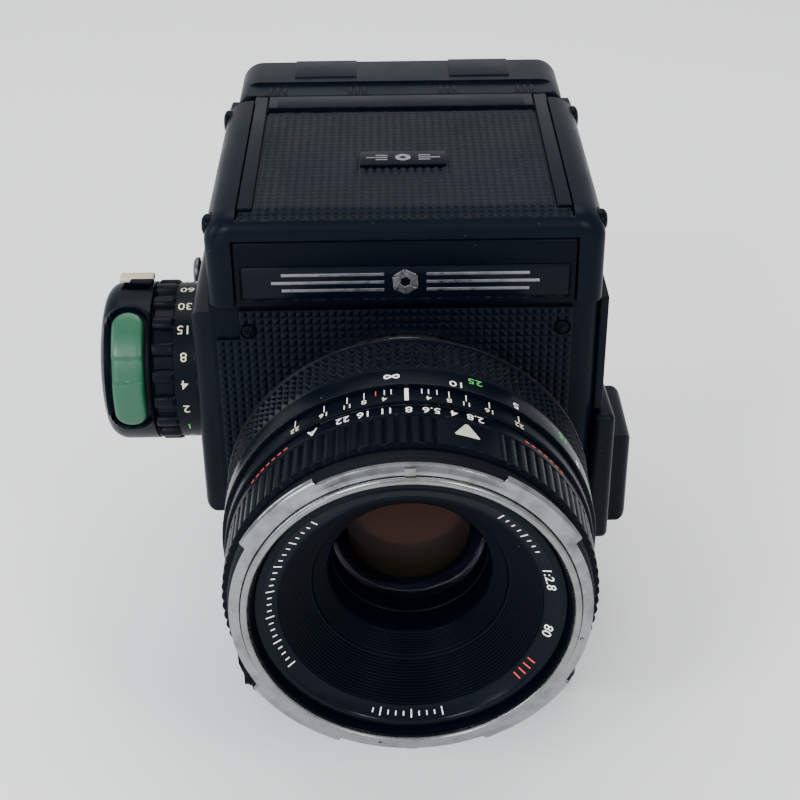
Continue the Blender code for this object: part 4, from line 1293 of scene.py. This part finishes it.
def depth_ring():
    radius = 39.3
    profile = soft([(35.4, 35.1), (35.4, 40.0), (39.0, 40.0), (radius, 39.6),
                    (radius, 35.4), (39.1, 35.1)], 0.15, 2)
    piece("depth_scale_ring", revolve(profile, lens), "body", ANODISED,
          ["dof_ring"])
    white = bmesh.new()
    ivory = bmesh.new()
    red = bmesh.new()
    add_bar(white, (-0.42, -2.3), (0.42, 2.2), on_lens(INDEX_ANGLE, radius, 37.5))
    marks = (("", 4.5), ("4", 6.5), ("", 9.0), ("8", 12.6), ("11", 17.8), ("16", 25.2),
             ("22", 35.4))
    for value, angle in marks:
        for side in (-1, 1):
            if value == "" and angle > 8.0 and side < 0:
                continue
            at = INDEX_ANGLE + side * angle
            longer = 0.5 if angle > 11.0 or value == "8" else 0.0
            add_bar(white, (-0.1, 0.55), (0.1, 2.3 + longer), on_lens(at, radius, 34.8))
            if value:
                add_text(ivory, value, 1.45, on_lens(at, radius, 38.7), 1.15)
    add_bar(red, (-0.1, 0.55), (0.1, 2.3), on_lens(-9.6, radius, 34.8))
    piece("depth_ticks", white, "body", WHITE_INK)
    piece("depth_numbers", ivory, "body", IVORY_INK)
    piece("infrared_mark", red, "body", RED_INK)


FLUTES = 96
PATCH = (8.0, 27.8)                # smooth stretch on the aperture ring, degrees


def fluted(radius, ahead, angle):
    """Convex ribs with sharp valleys, left out over the smooth stretch."""
    if radius < 38.6 or ahead < 44.2:
        return radius
    degrees = (math.degrees(angle) + 180) % 360 - 180
    if PATCH[0] < degrees < PATCH[1]:
        return radius - 0.1
    phase = (degrees / (360 / FLUTES)) % 1.0
    across = 2 * phase - 1
    return radius + 0.05 - 0.85 * (1 - math.sqrt(max(0.0, 1 - 0.92 * across * across)))


def aperture_ring():
    radius = 38.7
    profile = [(35.4, 40.3), (35.4, 54.1), (37.3, 54.1), (37.6, 54.0), (radius, 53.7),
               (radius, 53.4), (radius, 44.5), (38.2, 44.1), (38.2, 43.95), (radius - 0.05, 43.7),
               (radius - 0.05, 40.7), (38.5, 40.3)]
    bm = revolve(profile, lens, FLUTES * 10, swell=fluted)
    piece("aperture_grip", bm, "aperture_ring", ANODISED, ["aperture_ring"],
          sharp=35.0)
    ridge = bmesh.new()
    add_bar(ridge, (-18.0, -0.12), (18.0, 0.12), on_lens(INDEX_ANGLE, 38.7, 40.75), 0.3, 40)
    piece("aperture_ridge", ridge, "aperture_ring", DUSTY)
    white = bmesh.new()
    values = ("22", "16", "11", "8", "5.6", "4", "2.8")
    for k, value in enumerate(values):
        at = 0.1 + (k - 3) * STOP_STEP
        add_text(white, value, 2.0, on_lens(at, 38.65, 42.2), 1.1)
    add_text(white, "A", 2.1, on_lens(-30.1, 38.65, 42.2), 1.2)
    piece("aperture_numbers", white, "aperture_ring", WHITE_INK)
    red = bmesh.new()
    for start, side in ((38.0, 1), (-40.0, -1)):
        for k in range(7):
            at = on_lens(start + side * k * 2.6, 38.65, 42.2)
            add_bar(red, (-0.5, -0.2), (0.5, 0.2), at)
    piece("aperture_red_marks", red, "aperture_ring", RED_INK)
    pointer = bmesh.new()
    corners = [(0.3, 0.0), (-0.3, 0.0), (-2.6, 3.9), (-2.35, 4.3), (2.35, 4.3), (2.6, 3.9)]
    add_shape(pointer, corners, on_lens(17.2, 38.62, 45.3))
    piece("aperture_pointer", pointer, "aperture_ring", POINTER_INK)


def front_group():
    body = "front_group"
    profile = [(33.2, 57.7), (36.7, 57.7), (36.9, 57.5), (36.95, 57.0), (37.25, 56.8),
               (37.3, 56.0), (37.5, 55.8), (37.5, 54.6), (35.0, 54.5), (35.0, 38.0),
               (33.8, 38.0), (33.8, 54.8), (33.2, 54.8)]
    piece("front_barrel_shell", revolve(soft(profile, 0.1, 2), lens), body,
          DUSTY, ["front_barrel"])
    profile = [(32.9, 54.7), (32.9, 56.9), (32.6, 57.0), (32.0, 57.0), (31.9, 57.6),
               (31.7, 57.7), (30.5, 57.7), (30.3, 57.45), (27.5, 56.1), (27.3, 56.25),
               (27.1, 56.2), (27.3, 54.7)]
    piece("name_band", revolve(soft(profile, 0.08, 2), lens, 240), body,
          NAME_FACE, ["name_ring"])
    ribbed_cones(body)
    front_marks(body)
    front_optics(body)


def sawtooth(start, end, count, depth):
    """Ridges along a cone from start to end, both (radius, distance)."""
    points = []
    for k in range(count):
        t0 = k / count
        t1 = (k + 1) / count
        r0 = start[0] + (end[0] - start[0]) * t0
        d0 = start[1] + (end[1] - start[1]) * t0
        r1 = start[0] + (end[0] - start[0]) * t1
        d1 = start[1] + (end[1] - start[1]) * t1
        points += [(r0, d0), (r0 + (r1 - r0) * 0.55, d0 - 0.02),
                   (r0 + (r1 - r0) * 0.62 + depth * 0.5, d0 + (d1 - d0) * 0.6 - depth),
                   (r1 + 0.02, d1 - 0.02)]
    return points


def ribbed_cones(body):
    inner = sawtooth((26.9, 55.9), (20.9, 48.6), 14, 0.16)
    inner += [(20.6, 48.5), (20.3, 47.9)]
    inner += sawtooth((20.2, 47.8), (17.4, 44.2), 8, 0.14)
    inner += [(17.3, 44.0), (17.1, 43.7), (16.9, 43.0), (16.75, 38.5), (17.0, 38.3),
              (17.0, 37.6), (16.7, 37.4), (16.7, 34.0)]
    outer = [(18.4, 34.0), (18.6, 42.4), (21.8, 47.2), (27.5, 54.2), (27.05, 55.95)]
    piece("baffle_cones", revolve(inner + outer, lens, 200), body, BAFFLE,
          ["ribbed_baffle"], sharp=25.0)


def lug(angle):
    degrees = abs((math.degrees(angle) + 180) % 360 - 180)
    return 29.0 < degrees < 62.0 or 120.0 < degrees < 156.0


def bayonet_edge(radius, ahead, angle):
    """Outer rim of the ring: full radius on the lugs, drawn in between them."""
    if radius > 37.0:
        return radius if lug(angle) else 36.95
    return radius


def front_marks(body):
    profile = [(32.9, 58.0), (32.9, 59.7), (33.05, 60.1), (33.3, 60.36), (33.6, 60.4),
               (34.1, 60.3), (34.4, 60.12), (34.56, 59.85), (34.6, 59.5), (34.6, 58.0)]
    bm = revolve(profile, lens, 360)
    piece("filter_ring", bm, body, CHROME, ["chrome_ring"], sharp=35.0)
    profile = [(34.6, 58.0), (34.62, 59.3), (34.8, 59.5), (35.2, 59.47), (35.8, 59.3),
               (36.7, 59.0), (36.95, 58.95), (37.3, 58.93), (37.8, 58.8), (38.2, 58.55),
               (38.4, 58.3), (38.4, 58.1), (38.2, 58.0)]
    bm = revolve(profile, lens, 720, swell=bayonet_edge)
    piece("bayonet_flange", bm, body, POLISHED, sharp=40.0)
    sleeve = revolve([(32.62, 57.1), (32.62, 59.35), (32.72, 59.6), (32.88, 59.7),
                      (32.88, 57.1)], lens, 240)
    piece("inner_sleeve", sleeve, body, NAME_FACE)
    pins = [rod(lens(35.6, math.radians(turn), 59.3), 0.4, 0.9, "-Y", 16)
            for turn in (101.0, -169.0)]
    piece("bayonet_pins", joined(*pins), body, CHROME)
    tabs = []
    for turn in (0.0, 180.0):
        part = bmesh.new()
        spot = on_face(turn, 35.55, 59.4)
        add_bar(part, (-1.1, -0.85), (1.1, 0.85), spot, 0.3, 4)
        tabs.append(part)
    piece("filter_ring_tabs", joined(*tabs), body, CHROME)
    white = bmesh.new()
    red = bmesh.new()
    band = (28.85, 56.85, 0.47)
    for value, angle in (("1:2.8", 76.0), ("80", 103.0)):
        add_text(white, value, 1.8, on_face(angle, *band), 1.2)
    for first, last in ((-120, -40), (38, 62), (167, 197)):
        for k in range(int((last - first) / 3.3) + 1):
            tall = 0.85 if k % 4 == 0 else 0.45
            at = on_face(first + k * 3.3, *band)
            add_bar(white, (-0.13, -tall), (0.13, tall), at, 0.02, 1)
    for k in range(4):
        at = on_face(120 + k * 3.3, *band)
        add_bar(red, (-0.16, -0.85), (0.16, 0.85), at, 0.02, 1)
    piece("front_scale", white, body, WHITE_INK)
    piece("front_red_marks", red, body, RED_INK)


def cap_curve(radius, rim, rise, count=14):
    """Points of a shallow dome from its rim to its middle."""
    return [(max(0.0001, radius * (1 - k / count)),
             rim + rise * (1 - (1 - k / count) ** 2)) for k in range(count + 1)]


def front_optics(body):
    dome = cap_curve(16.35, 33.7, 2.4)
    profile = [(0.0001, 32.2), (16.35, 31.0)] + dome
    piece("front_element", revolve(profile, lens, 120), body, FRONT_GLASS,
          ["front_glass"])
    ring = soft([(15.9, 30.7), (16.4, 30.7), (19.6, 30.7), (19.6, 26.4), (13.8, 24.6),
                 (13.4, 25.2), (14.2, 26.2), (14.6, 27.4)], 0.2, 2)
    piece("front_cell", revolve(ring, lens, 120), body, CELL)
    # The second and third elements are opaque; their near-black brownish colour is painted shade
    # for the depth inside the lens.
    dome = cap_curve(14.4, 24.9, 2.0)
    profile = [(0.0001, 24.4), (14.4, 24.2)] + dome
    piece("second_element", revolve(profile, lens, 120), body, INNER_GLASS_PAINTED_SHADE)
    dome = cap_curve(13.2, 29.3, 1.5)
    profile = [(0.0001, 27.2), (12.9, 28.0), (13.2, 28.4)] + dome
    piece("third_element", revolve(profile, lens, 120), body, DEEP_GLASS_PAINTED_SHADE)


def rear_optics():
    dome = [(max(0.0001, 17.6 * k / 12), -6.4 + 2.4 * (k / 12) ** 2) for k in range(13)]
    front = [(17.6, 2.4), (0.0001, 0.6)]
    piece("rear_element", revolve(dome + front, lens, 96), "body", CLEAR_GLASS,
          ["rear_glass"])
    blades = bmesh.new()
    for k in range(6):
        a = math.radians(60 * k)
        part = bmesh.new()
        ring = [(17.6, 0.0), (17.6, 1.15), (10.4, 1.35), (9.6, 0.25)]
        lower = [part.verts.new(lens(r, a + t, 17.2 + 0.4 * k)) for r, t in ring]
        upper = [part.verts.new(lens(r, a + t, 17.35 + 0.4 * k)) for r, t in ring]
        part.faces.new(upper)
        part.faces.new(list(reversed(lower)))
        for i in range(4):
            j = (i + 1) % 4
            part.faces.new((lower[i], lower[j], upper[j], upper[i]))
        add_bm(blades, part)
    profile = [(17.6, 22.0), (17.6, 19.9), (14.5, 19.9), (14.5, 22.0)]
    ring = revolve(profile, lens, 72)
    piece("iris_blades", joined(blades, ring), "body", DARK_STEEL, ["iris_unit"])


# ---------------------------------------------------------------- magazine

def magazine():
    low, high = span("magazine_shell")
    spool = span("takeup_spool")
    spool_y = (spool[0].y + spool[1].y) / 2
    spool_z = (spool[0].z + spool[1].z) / 2
    catch = span("magazine_catch")
    bm = slab(low, high, 2.6, 6)
    inside = slab((low.x + 3, low.y + 4.5, 7.0), (high.x - 3, high.y + 9, high.z - 3.2))
    gate = slab((-28, low.y - 5, AXIS - 28), (28, low.y + 10, AXIS + 28))
    slot = slab((-32.5, low.y + 1.2, AXIS - 31), (60, low.y + 2.8, AXIS + 31))
    catch_well = slab((-7.4, catch[0].y - 2.4, catch[0].z - 0.4),
                      (7.4, catch[1].y + 0.4, high.z + 5))
    crank = rod((high.x, spool_y, spool_z), 9.4, 3.2, "X", 72)
    stem = rod((high.x, spool_y, spool_z), 2.4, 14.0, "X", 40)
    seams = [slab((-60, low.y + 9.0, low.z - 2), (low.x + 0.4, low.y + 9.45, high.z + 2)),
             slab((high.x - 0.4, low.y + 9.0, low.z - 2), (60, low.y + 9.45, high.z + 2)),
             slab((-60, low.y + 9.0, high.z - 0.4), (60, low.y + 9.45, high.z + 2))]
    panels = [slab((-60, low.y + 14.0, low.z + 12.0), (low.x + 0.7, high.y - 5.0, high.z - 12.0))]
    bm = carve(bm, inside, gate, slot, catch_well, crank, stem, *seams, *panels)
    piece("magazine_case", bm, "body", PAINT, ["magazine_shell"])
    us = steps_between(low.y + 14.4, high.y - 5.4, PYRAMID)
    vs = steps_between(low.z + 12.4, high.z - 12.4, PYRAMID)
    bm = lattice(us, vs, lambda y, z, h: Vector((low.x + 0.42 - h, y, z)),
                 lambda u, v: True, 0.26, 0.36)
    piece("magazine_side_grip", bm, "body", GRIP, sharp=15.0)
    magazine_door()
    magazine_inside(spool_y)
    magazine_controls(catch, spool_y, spool_z)


def magazine_door():
    low, high = span("magazine_door")
    bm = slab(low, high, 1.3, 4)
    recess = slab((low.x + 6, high.y - 0.8, low.z + 10), (high.x - 6, high.y + 3, high.z - 14))
    window = slab((-14, high.y - 0.7, high.z - 11), (14, high.y + 3, high.z - 5.0))
    bm = carve(bm, recess, window)
    piece("door_plate", bm, "magazine_door", PAINT, ["magazine_door"])
    us = steps_between(low.x + 6.4, high.x - 6.4, PYRAMID)
    vs = steps_between(low.z + 10.4, high.z - 14.4, PYRAMID)
    bm = lattice(us, vs, lambda x, z, h: Vector((x, high.y - 0.5 + h, z)),
                 lambda u, v: True, 0.26, 0.42)
    piece("door_grip", bm, "magazine_door", GRIP, sharp=15.0)
    frame_bars = [slab((-13.4, high.y - 0.9, z), (13.4, high.y - 0.25, z + 0.7), 0.15, 2)
                  for z in (high.z - 10.4, high.z - 6.3)]
    piece("door_holder", joined(*frame_bars), "magazine_door", DARK_STEEL)


def magazine_inside(spool_y):
    low, high = span("film_insert")
    bm = slab(low, high, 0.8, 3)
    rooms = slab((-36.6, low.y + 2.5, low.z - 10), (36.6, high.y + 30, high.z + 10))
    gate = slab((-28, low.y - 5, AXIS - 28), (28, low.y + 15, AXIS + 28))
    takeup = span("takeup_spool")
    axle = rod((20, spool_y, (takeup[0].z + takeup[1].z) / 2), 2.6, 60.0, "X", 40)
    piece("insert_frame", carve(bm, rooms, gate, axle), "body", MOULDED,
          ["film_insert"])
    low, high = span("pressure_plate")
    bm = slab(low, high, 0.4, 3)
    rails = [slab((x - 1.0, high.y - 0.3, low.z + 4), (x + 1.0, high.y + 0.5, high.z - 4), 0.2, 2)
             for x in (-18.0, 0.0, 18.0)]
    piece("film_pressure_plate", joined(bm, *rails), "body", DARK_STEEL,
          ["pressure_plate"])
    for node, body, core in (("supply_spool", "supply_spool", 8.0),
                             ("takeup_spool", "takeup", 5.0)):
        low, high = span(node)
        z = (low.z + high.z) / 2
        radius = (high.z - low.z) / 2
        half = high.x
        profile = [(0.0001, half), (radius - 0.2, half), (radius, half - 0.25),
                   (radius, half - 1.0), (radius - 0.3, half - 1.2), (core, half - 1.3)]
        profile += [(core + 0.05 * (k % 2), half - 1.5 - k * (2 * half - 3.0) / 20)
                    for k in range(21)]
        profile += [(core, -half + 1.3), (radius - 0.3, -half + 1.2), (radius, -half + 1.0),
                    (radius, -half + 0.25), (radius - 0.2, -half), (0.0001, -half)]
        bm = revolve(profile, sideways(spool_y, z), 96)
        notch = [slab((side * half - 1.6, spool_y - 0.9, z - 4.0),
                      (side * half + 1.6, spool_y + 0.9, z + 4.0)) for side in (-1, 1)]
        piece(node + "_film", carve(bm, *notch), body, PAPER, [node])


def magazine_controls(catch, spool_y, spool_z):
    low, high = catch
    bm = slab(low, high, 0.4, 3)
    cuts = [slab((x - 0.4, low.y - 1, high.z - 0.35), (x + 0.4, high.y + 1, high.z + 1))
            for x in steps_between(low.x + 1.6, high.x - 1.6, 1.6)]
    piece("catch_slider", carve(bm, *cuts), "magazine_catch", DARK_STEEL,
          ["magazine_catch"])
    low, high = span("dark_slide")
    sheet = slab(low, high, 0.25, 2)
    edge = high.x
    grip = slab((edge - 1.9, low.y - 1.0, AXIS - 16.0), (edge + 0.2, high.y + 1.0, AXIS + 16.0),
                0.6, 4)
    hole = slab((edge - 1.3, low.y - 3.0, AXIS - 11.0), (edge - 0.5, high.y + 3.0, AXIS + 11.0),
                0.2, 2)
    grip = carve(grip, hole)
    piece("dark_slide_plate", joined(sheet, grip), "dark_slide", STEEL,
          ["dark_slide"])
    low, high = span("winding_crank")
    inner = low.x
    face = high.x - 1.0
    profile = soft([(0.0001, inner), (2.0, inner), (2.0, face - 2.2), (9.0, face - 2.2),
                    (9.0, face - 0.5), (8.5, face), (0.0001, face)], 0.2, 2)

    def knurl(radius, _, angle):
        return radius - 0.25 * (math.sin(angle * 60) > 0) if radius > 8.8 else radius

    disc = revolve(profile, sideways(spool_y, spool_z), 480, swell=knurl)
    arm = slab((face - 0.3, spool_y - 7.4, spool_z - 2.0), (high.x, spool_y + 7.2, spool_z + 2.0),
               0.45, 4)
    knob = rod((high.x - 0.35, spool_y + 5.0, spool_z), 1.5, 0.7, "X", 32)
    piece("crank_disc", joined(disc, arm, knob), "takeup", ANODISED,
          ["winding_crank"])


def internals():
    low, high = span("drive_motor")
    middle = (low + high) / 2
    radius = (high.z - low.z) / 2
    profile = soft([(0.0001, high.y), (2.0, high.y), (2.0, high.y - 0.6),
                    (radius - 1.0, high.y - 0.6), (radius, high.y - 1.6),
                    (radius, low.y + 6.0), (radius - 0.5, low.y + 5.6),
                    (radius - 0.5, low.y + 1.0), (radius - 1.4, low.y), (0.0001, low.y)], 0.3, 2)
    bm = revolve(profile, facing(middle.x, middle.z), 72)
    piece("motor_can", bm, "body", STEEL, ["drive_motor"])
    low, high = span("battery_pack")
    bm = slab(low, high, 1.4, 4)
    strap = slab((low.x, low.y + 12.0, low.z - 1), (high.x, low.y + 12.5, low.z + 0.4))
    piece("battery_case", carve(bm, strap), "body", MOULDED, ["battery_pack"])
    low, high = span("circuit_board")
    bm = slab(low, high, 0.15, 2)
    chips = [slab((x, y, low.z - 1.2), (x + 7.0, y + 5.0, low.z + 0.1), 0.2, 2)
             for x in (-30.0, -8.0) for y in (-30.0, -4.0)]
    piece("board", bm, "body", BOARD, ["circuit_board"])
    piece("board_chips", joined(*chips), "body", MOULDED)


# ---------------------------------------------------------------- stage

def floor():
    bm = bmesh.new()
    bmesh.ops.create_grid(bm, x_segments=8, y_segments=8, size=3.0)
    mesh = bpy.data.meshes.new("floor")
    bm.to_mesh(mesh)
    bm.free()
    obj = bpy.data.objects.new("floor", mesh)
    bpy.context.scene.collection.objects.link(obj)
    made = Shader("floor_paper", 0.9, 0.0, Specular_IOR_Level=0.1, Emission_Strength=0.055)
    made.bsdf.inputs["Emission Color"].default_value = (1.0, 1.0, 1.0, 1.0)
    tone = made.mix(made.range(made.noise(3.0, 2.0), 0.3, 0.7, 0.0, 1.0),
                    (0.89, 0.89, 0.885), (0.90, 0.90, 0.895))
    made.link(tone, made.bsdf.inputs["Base Color"])
    mesh.materials.append(made.material)


CAMERA_TURN = (0.352, 32.105, -0.634)
CAMERA_PLACE = Vector((-3.3, FRONT - 304.65, AXIS + 205.59))
SENSOR_WIDTH = 36.0
FOCAL_LENGTH = 70.54


def camera():
    """Camera above the front, looking down at the lens."""
    data = bpy.data.cameras.new("camera")
    data.sensor_width = SENSOR_WIDTH
    data.lens = FOCAL_LENGTH
    data.clip_start = 0.01
    obj = bpy.data.objects.new("camera", data)
    bpy.context.scene.collection.objects.link(obj)
    yaw, pitch, roll = (math.radians(v) for v in CAMERA_TURN)
    level = Vector((math.cos(yaw), -math.sin(yaw), 0.0))
    forward = Vector((math.sin(yaw) * math.cos(pitch), math.cos(yaw) * math.cos(pitch),
                      -math.sin(pitch)))
    upward = level.cross(forward)
    right = level * math.cos(roll) + upward * math.sin(roll)
    up = upward * math.cos(roll) - level * math.sin(roll)
    turn = Matrix((right, up, -forward)).transposed().to_4x4()
    obj.matrix_world = Matrix.Translation(CAMERA_PLACE * MM) @ turn
    bpy.context.scene.camera = obj


WORLD_COLOUR = (0.93, 0.96, 1.0, 1.0)
WORLD_STRENGTH = 1.04
SOFTBOXES = (  # name, place, width and height, watts, colour
    ("overhead", (0.0, 300.0, 950.0), (700, 500), 4.5, (1.0, 1.0, 1.0)),
    ("upper_left", (-400.0, -720.0, 620.0), (170, 260), 5.2, (0.94, 0.97, 1.0)),
    ("upper_right", (400.0, -720.0, 620.0), (130, 230), 3.4, (1.0, 1.0, 1.0)),
    ("left_side", (-800.0, -150.0, 420.0), (200, 420), 3.0, (0.92, 0.95, 1.0)),
    ("low_left", (-420.0, -880.0, 120.0), (170, 170), 0.9, (0.88, 0.88, 1.0)),
)


def softbox(name, place, size, power, colour):
    """Rectangular light that faces the middle of the camera body."""
    data = bpy.data.lights.new(name, 'AREA')
    data.shape = 'RECTANGLE'
    data.size, data.size_y = (value * MM for value in size)
    data.energy = power
    data.color = colour
    obj = bpy.data.objects.new(name, data)
    bpy.context.scene.collection.objects.link(obj)
    place = Vector(place) * MM
    aim = (Vector((0.0, 0.0, AXIS)) * MM - place).to_track_quat('-Z', 'Y')
    obj.matrix_world = Matrix.Translation(place) @ aim.to_matrix().to_4x4()


def lighting():
    world = bpy.data.worlds.new("studio")
    world.use_nodes = True
    background = world.node_tree.nodes["Background"]
    background.inputs["Color"].default_value = WORLD_COLOUR
    background.inputs["Strength"].default_value = WORLD_STRENGTH
    bpy.context.scene.world = world
    for settings in SOFTBOXES:
        softbox(*settings)


casing()
leather()
front_screws()
base()
side_housings()
strap_studs()
mount_ring()
release_button()
finder()
hood_buttons()
nameplate()
lid()
hinge_pin()
deck()
folding_flaps()
magnifier()
screen()
mirror()
drum()
green_button()
speed_ring()
cream_slider()
core_barrel()
focus_ring()
depth_ring()
aperture_ring()
front_group()
rear_optics()
magazine()
internals()
floor()
camera()
lighting()
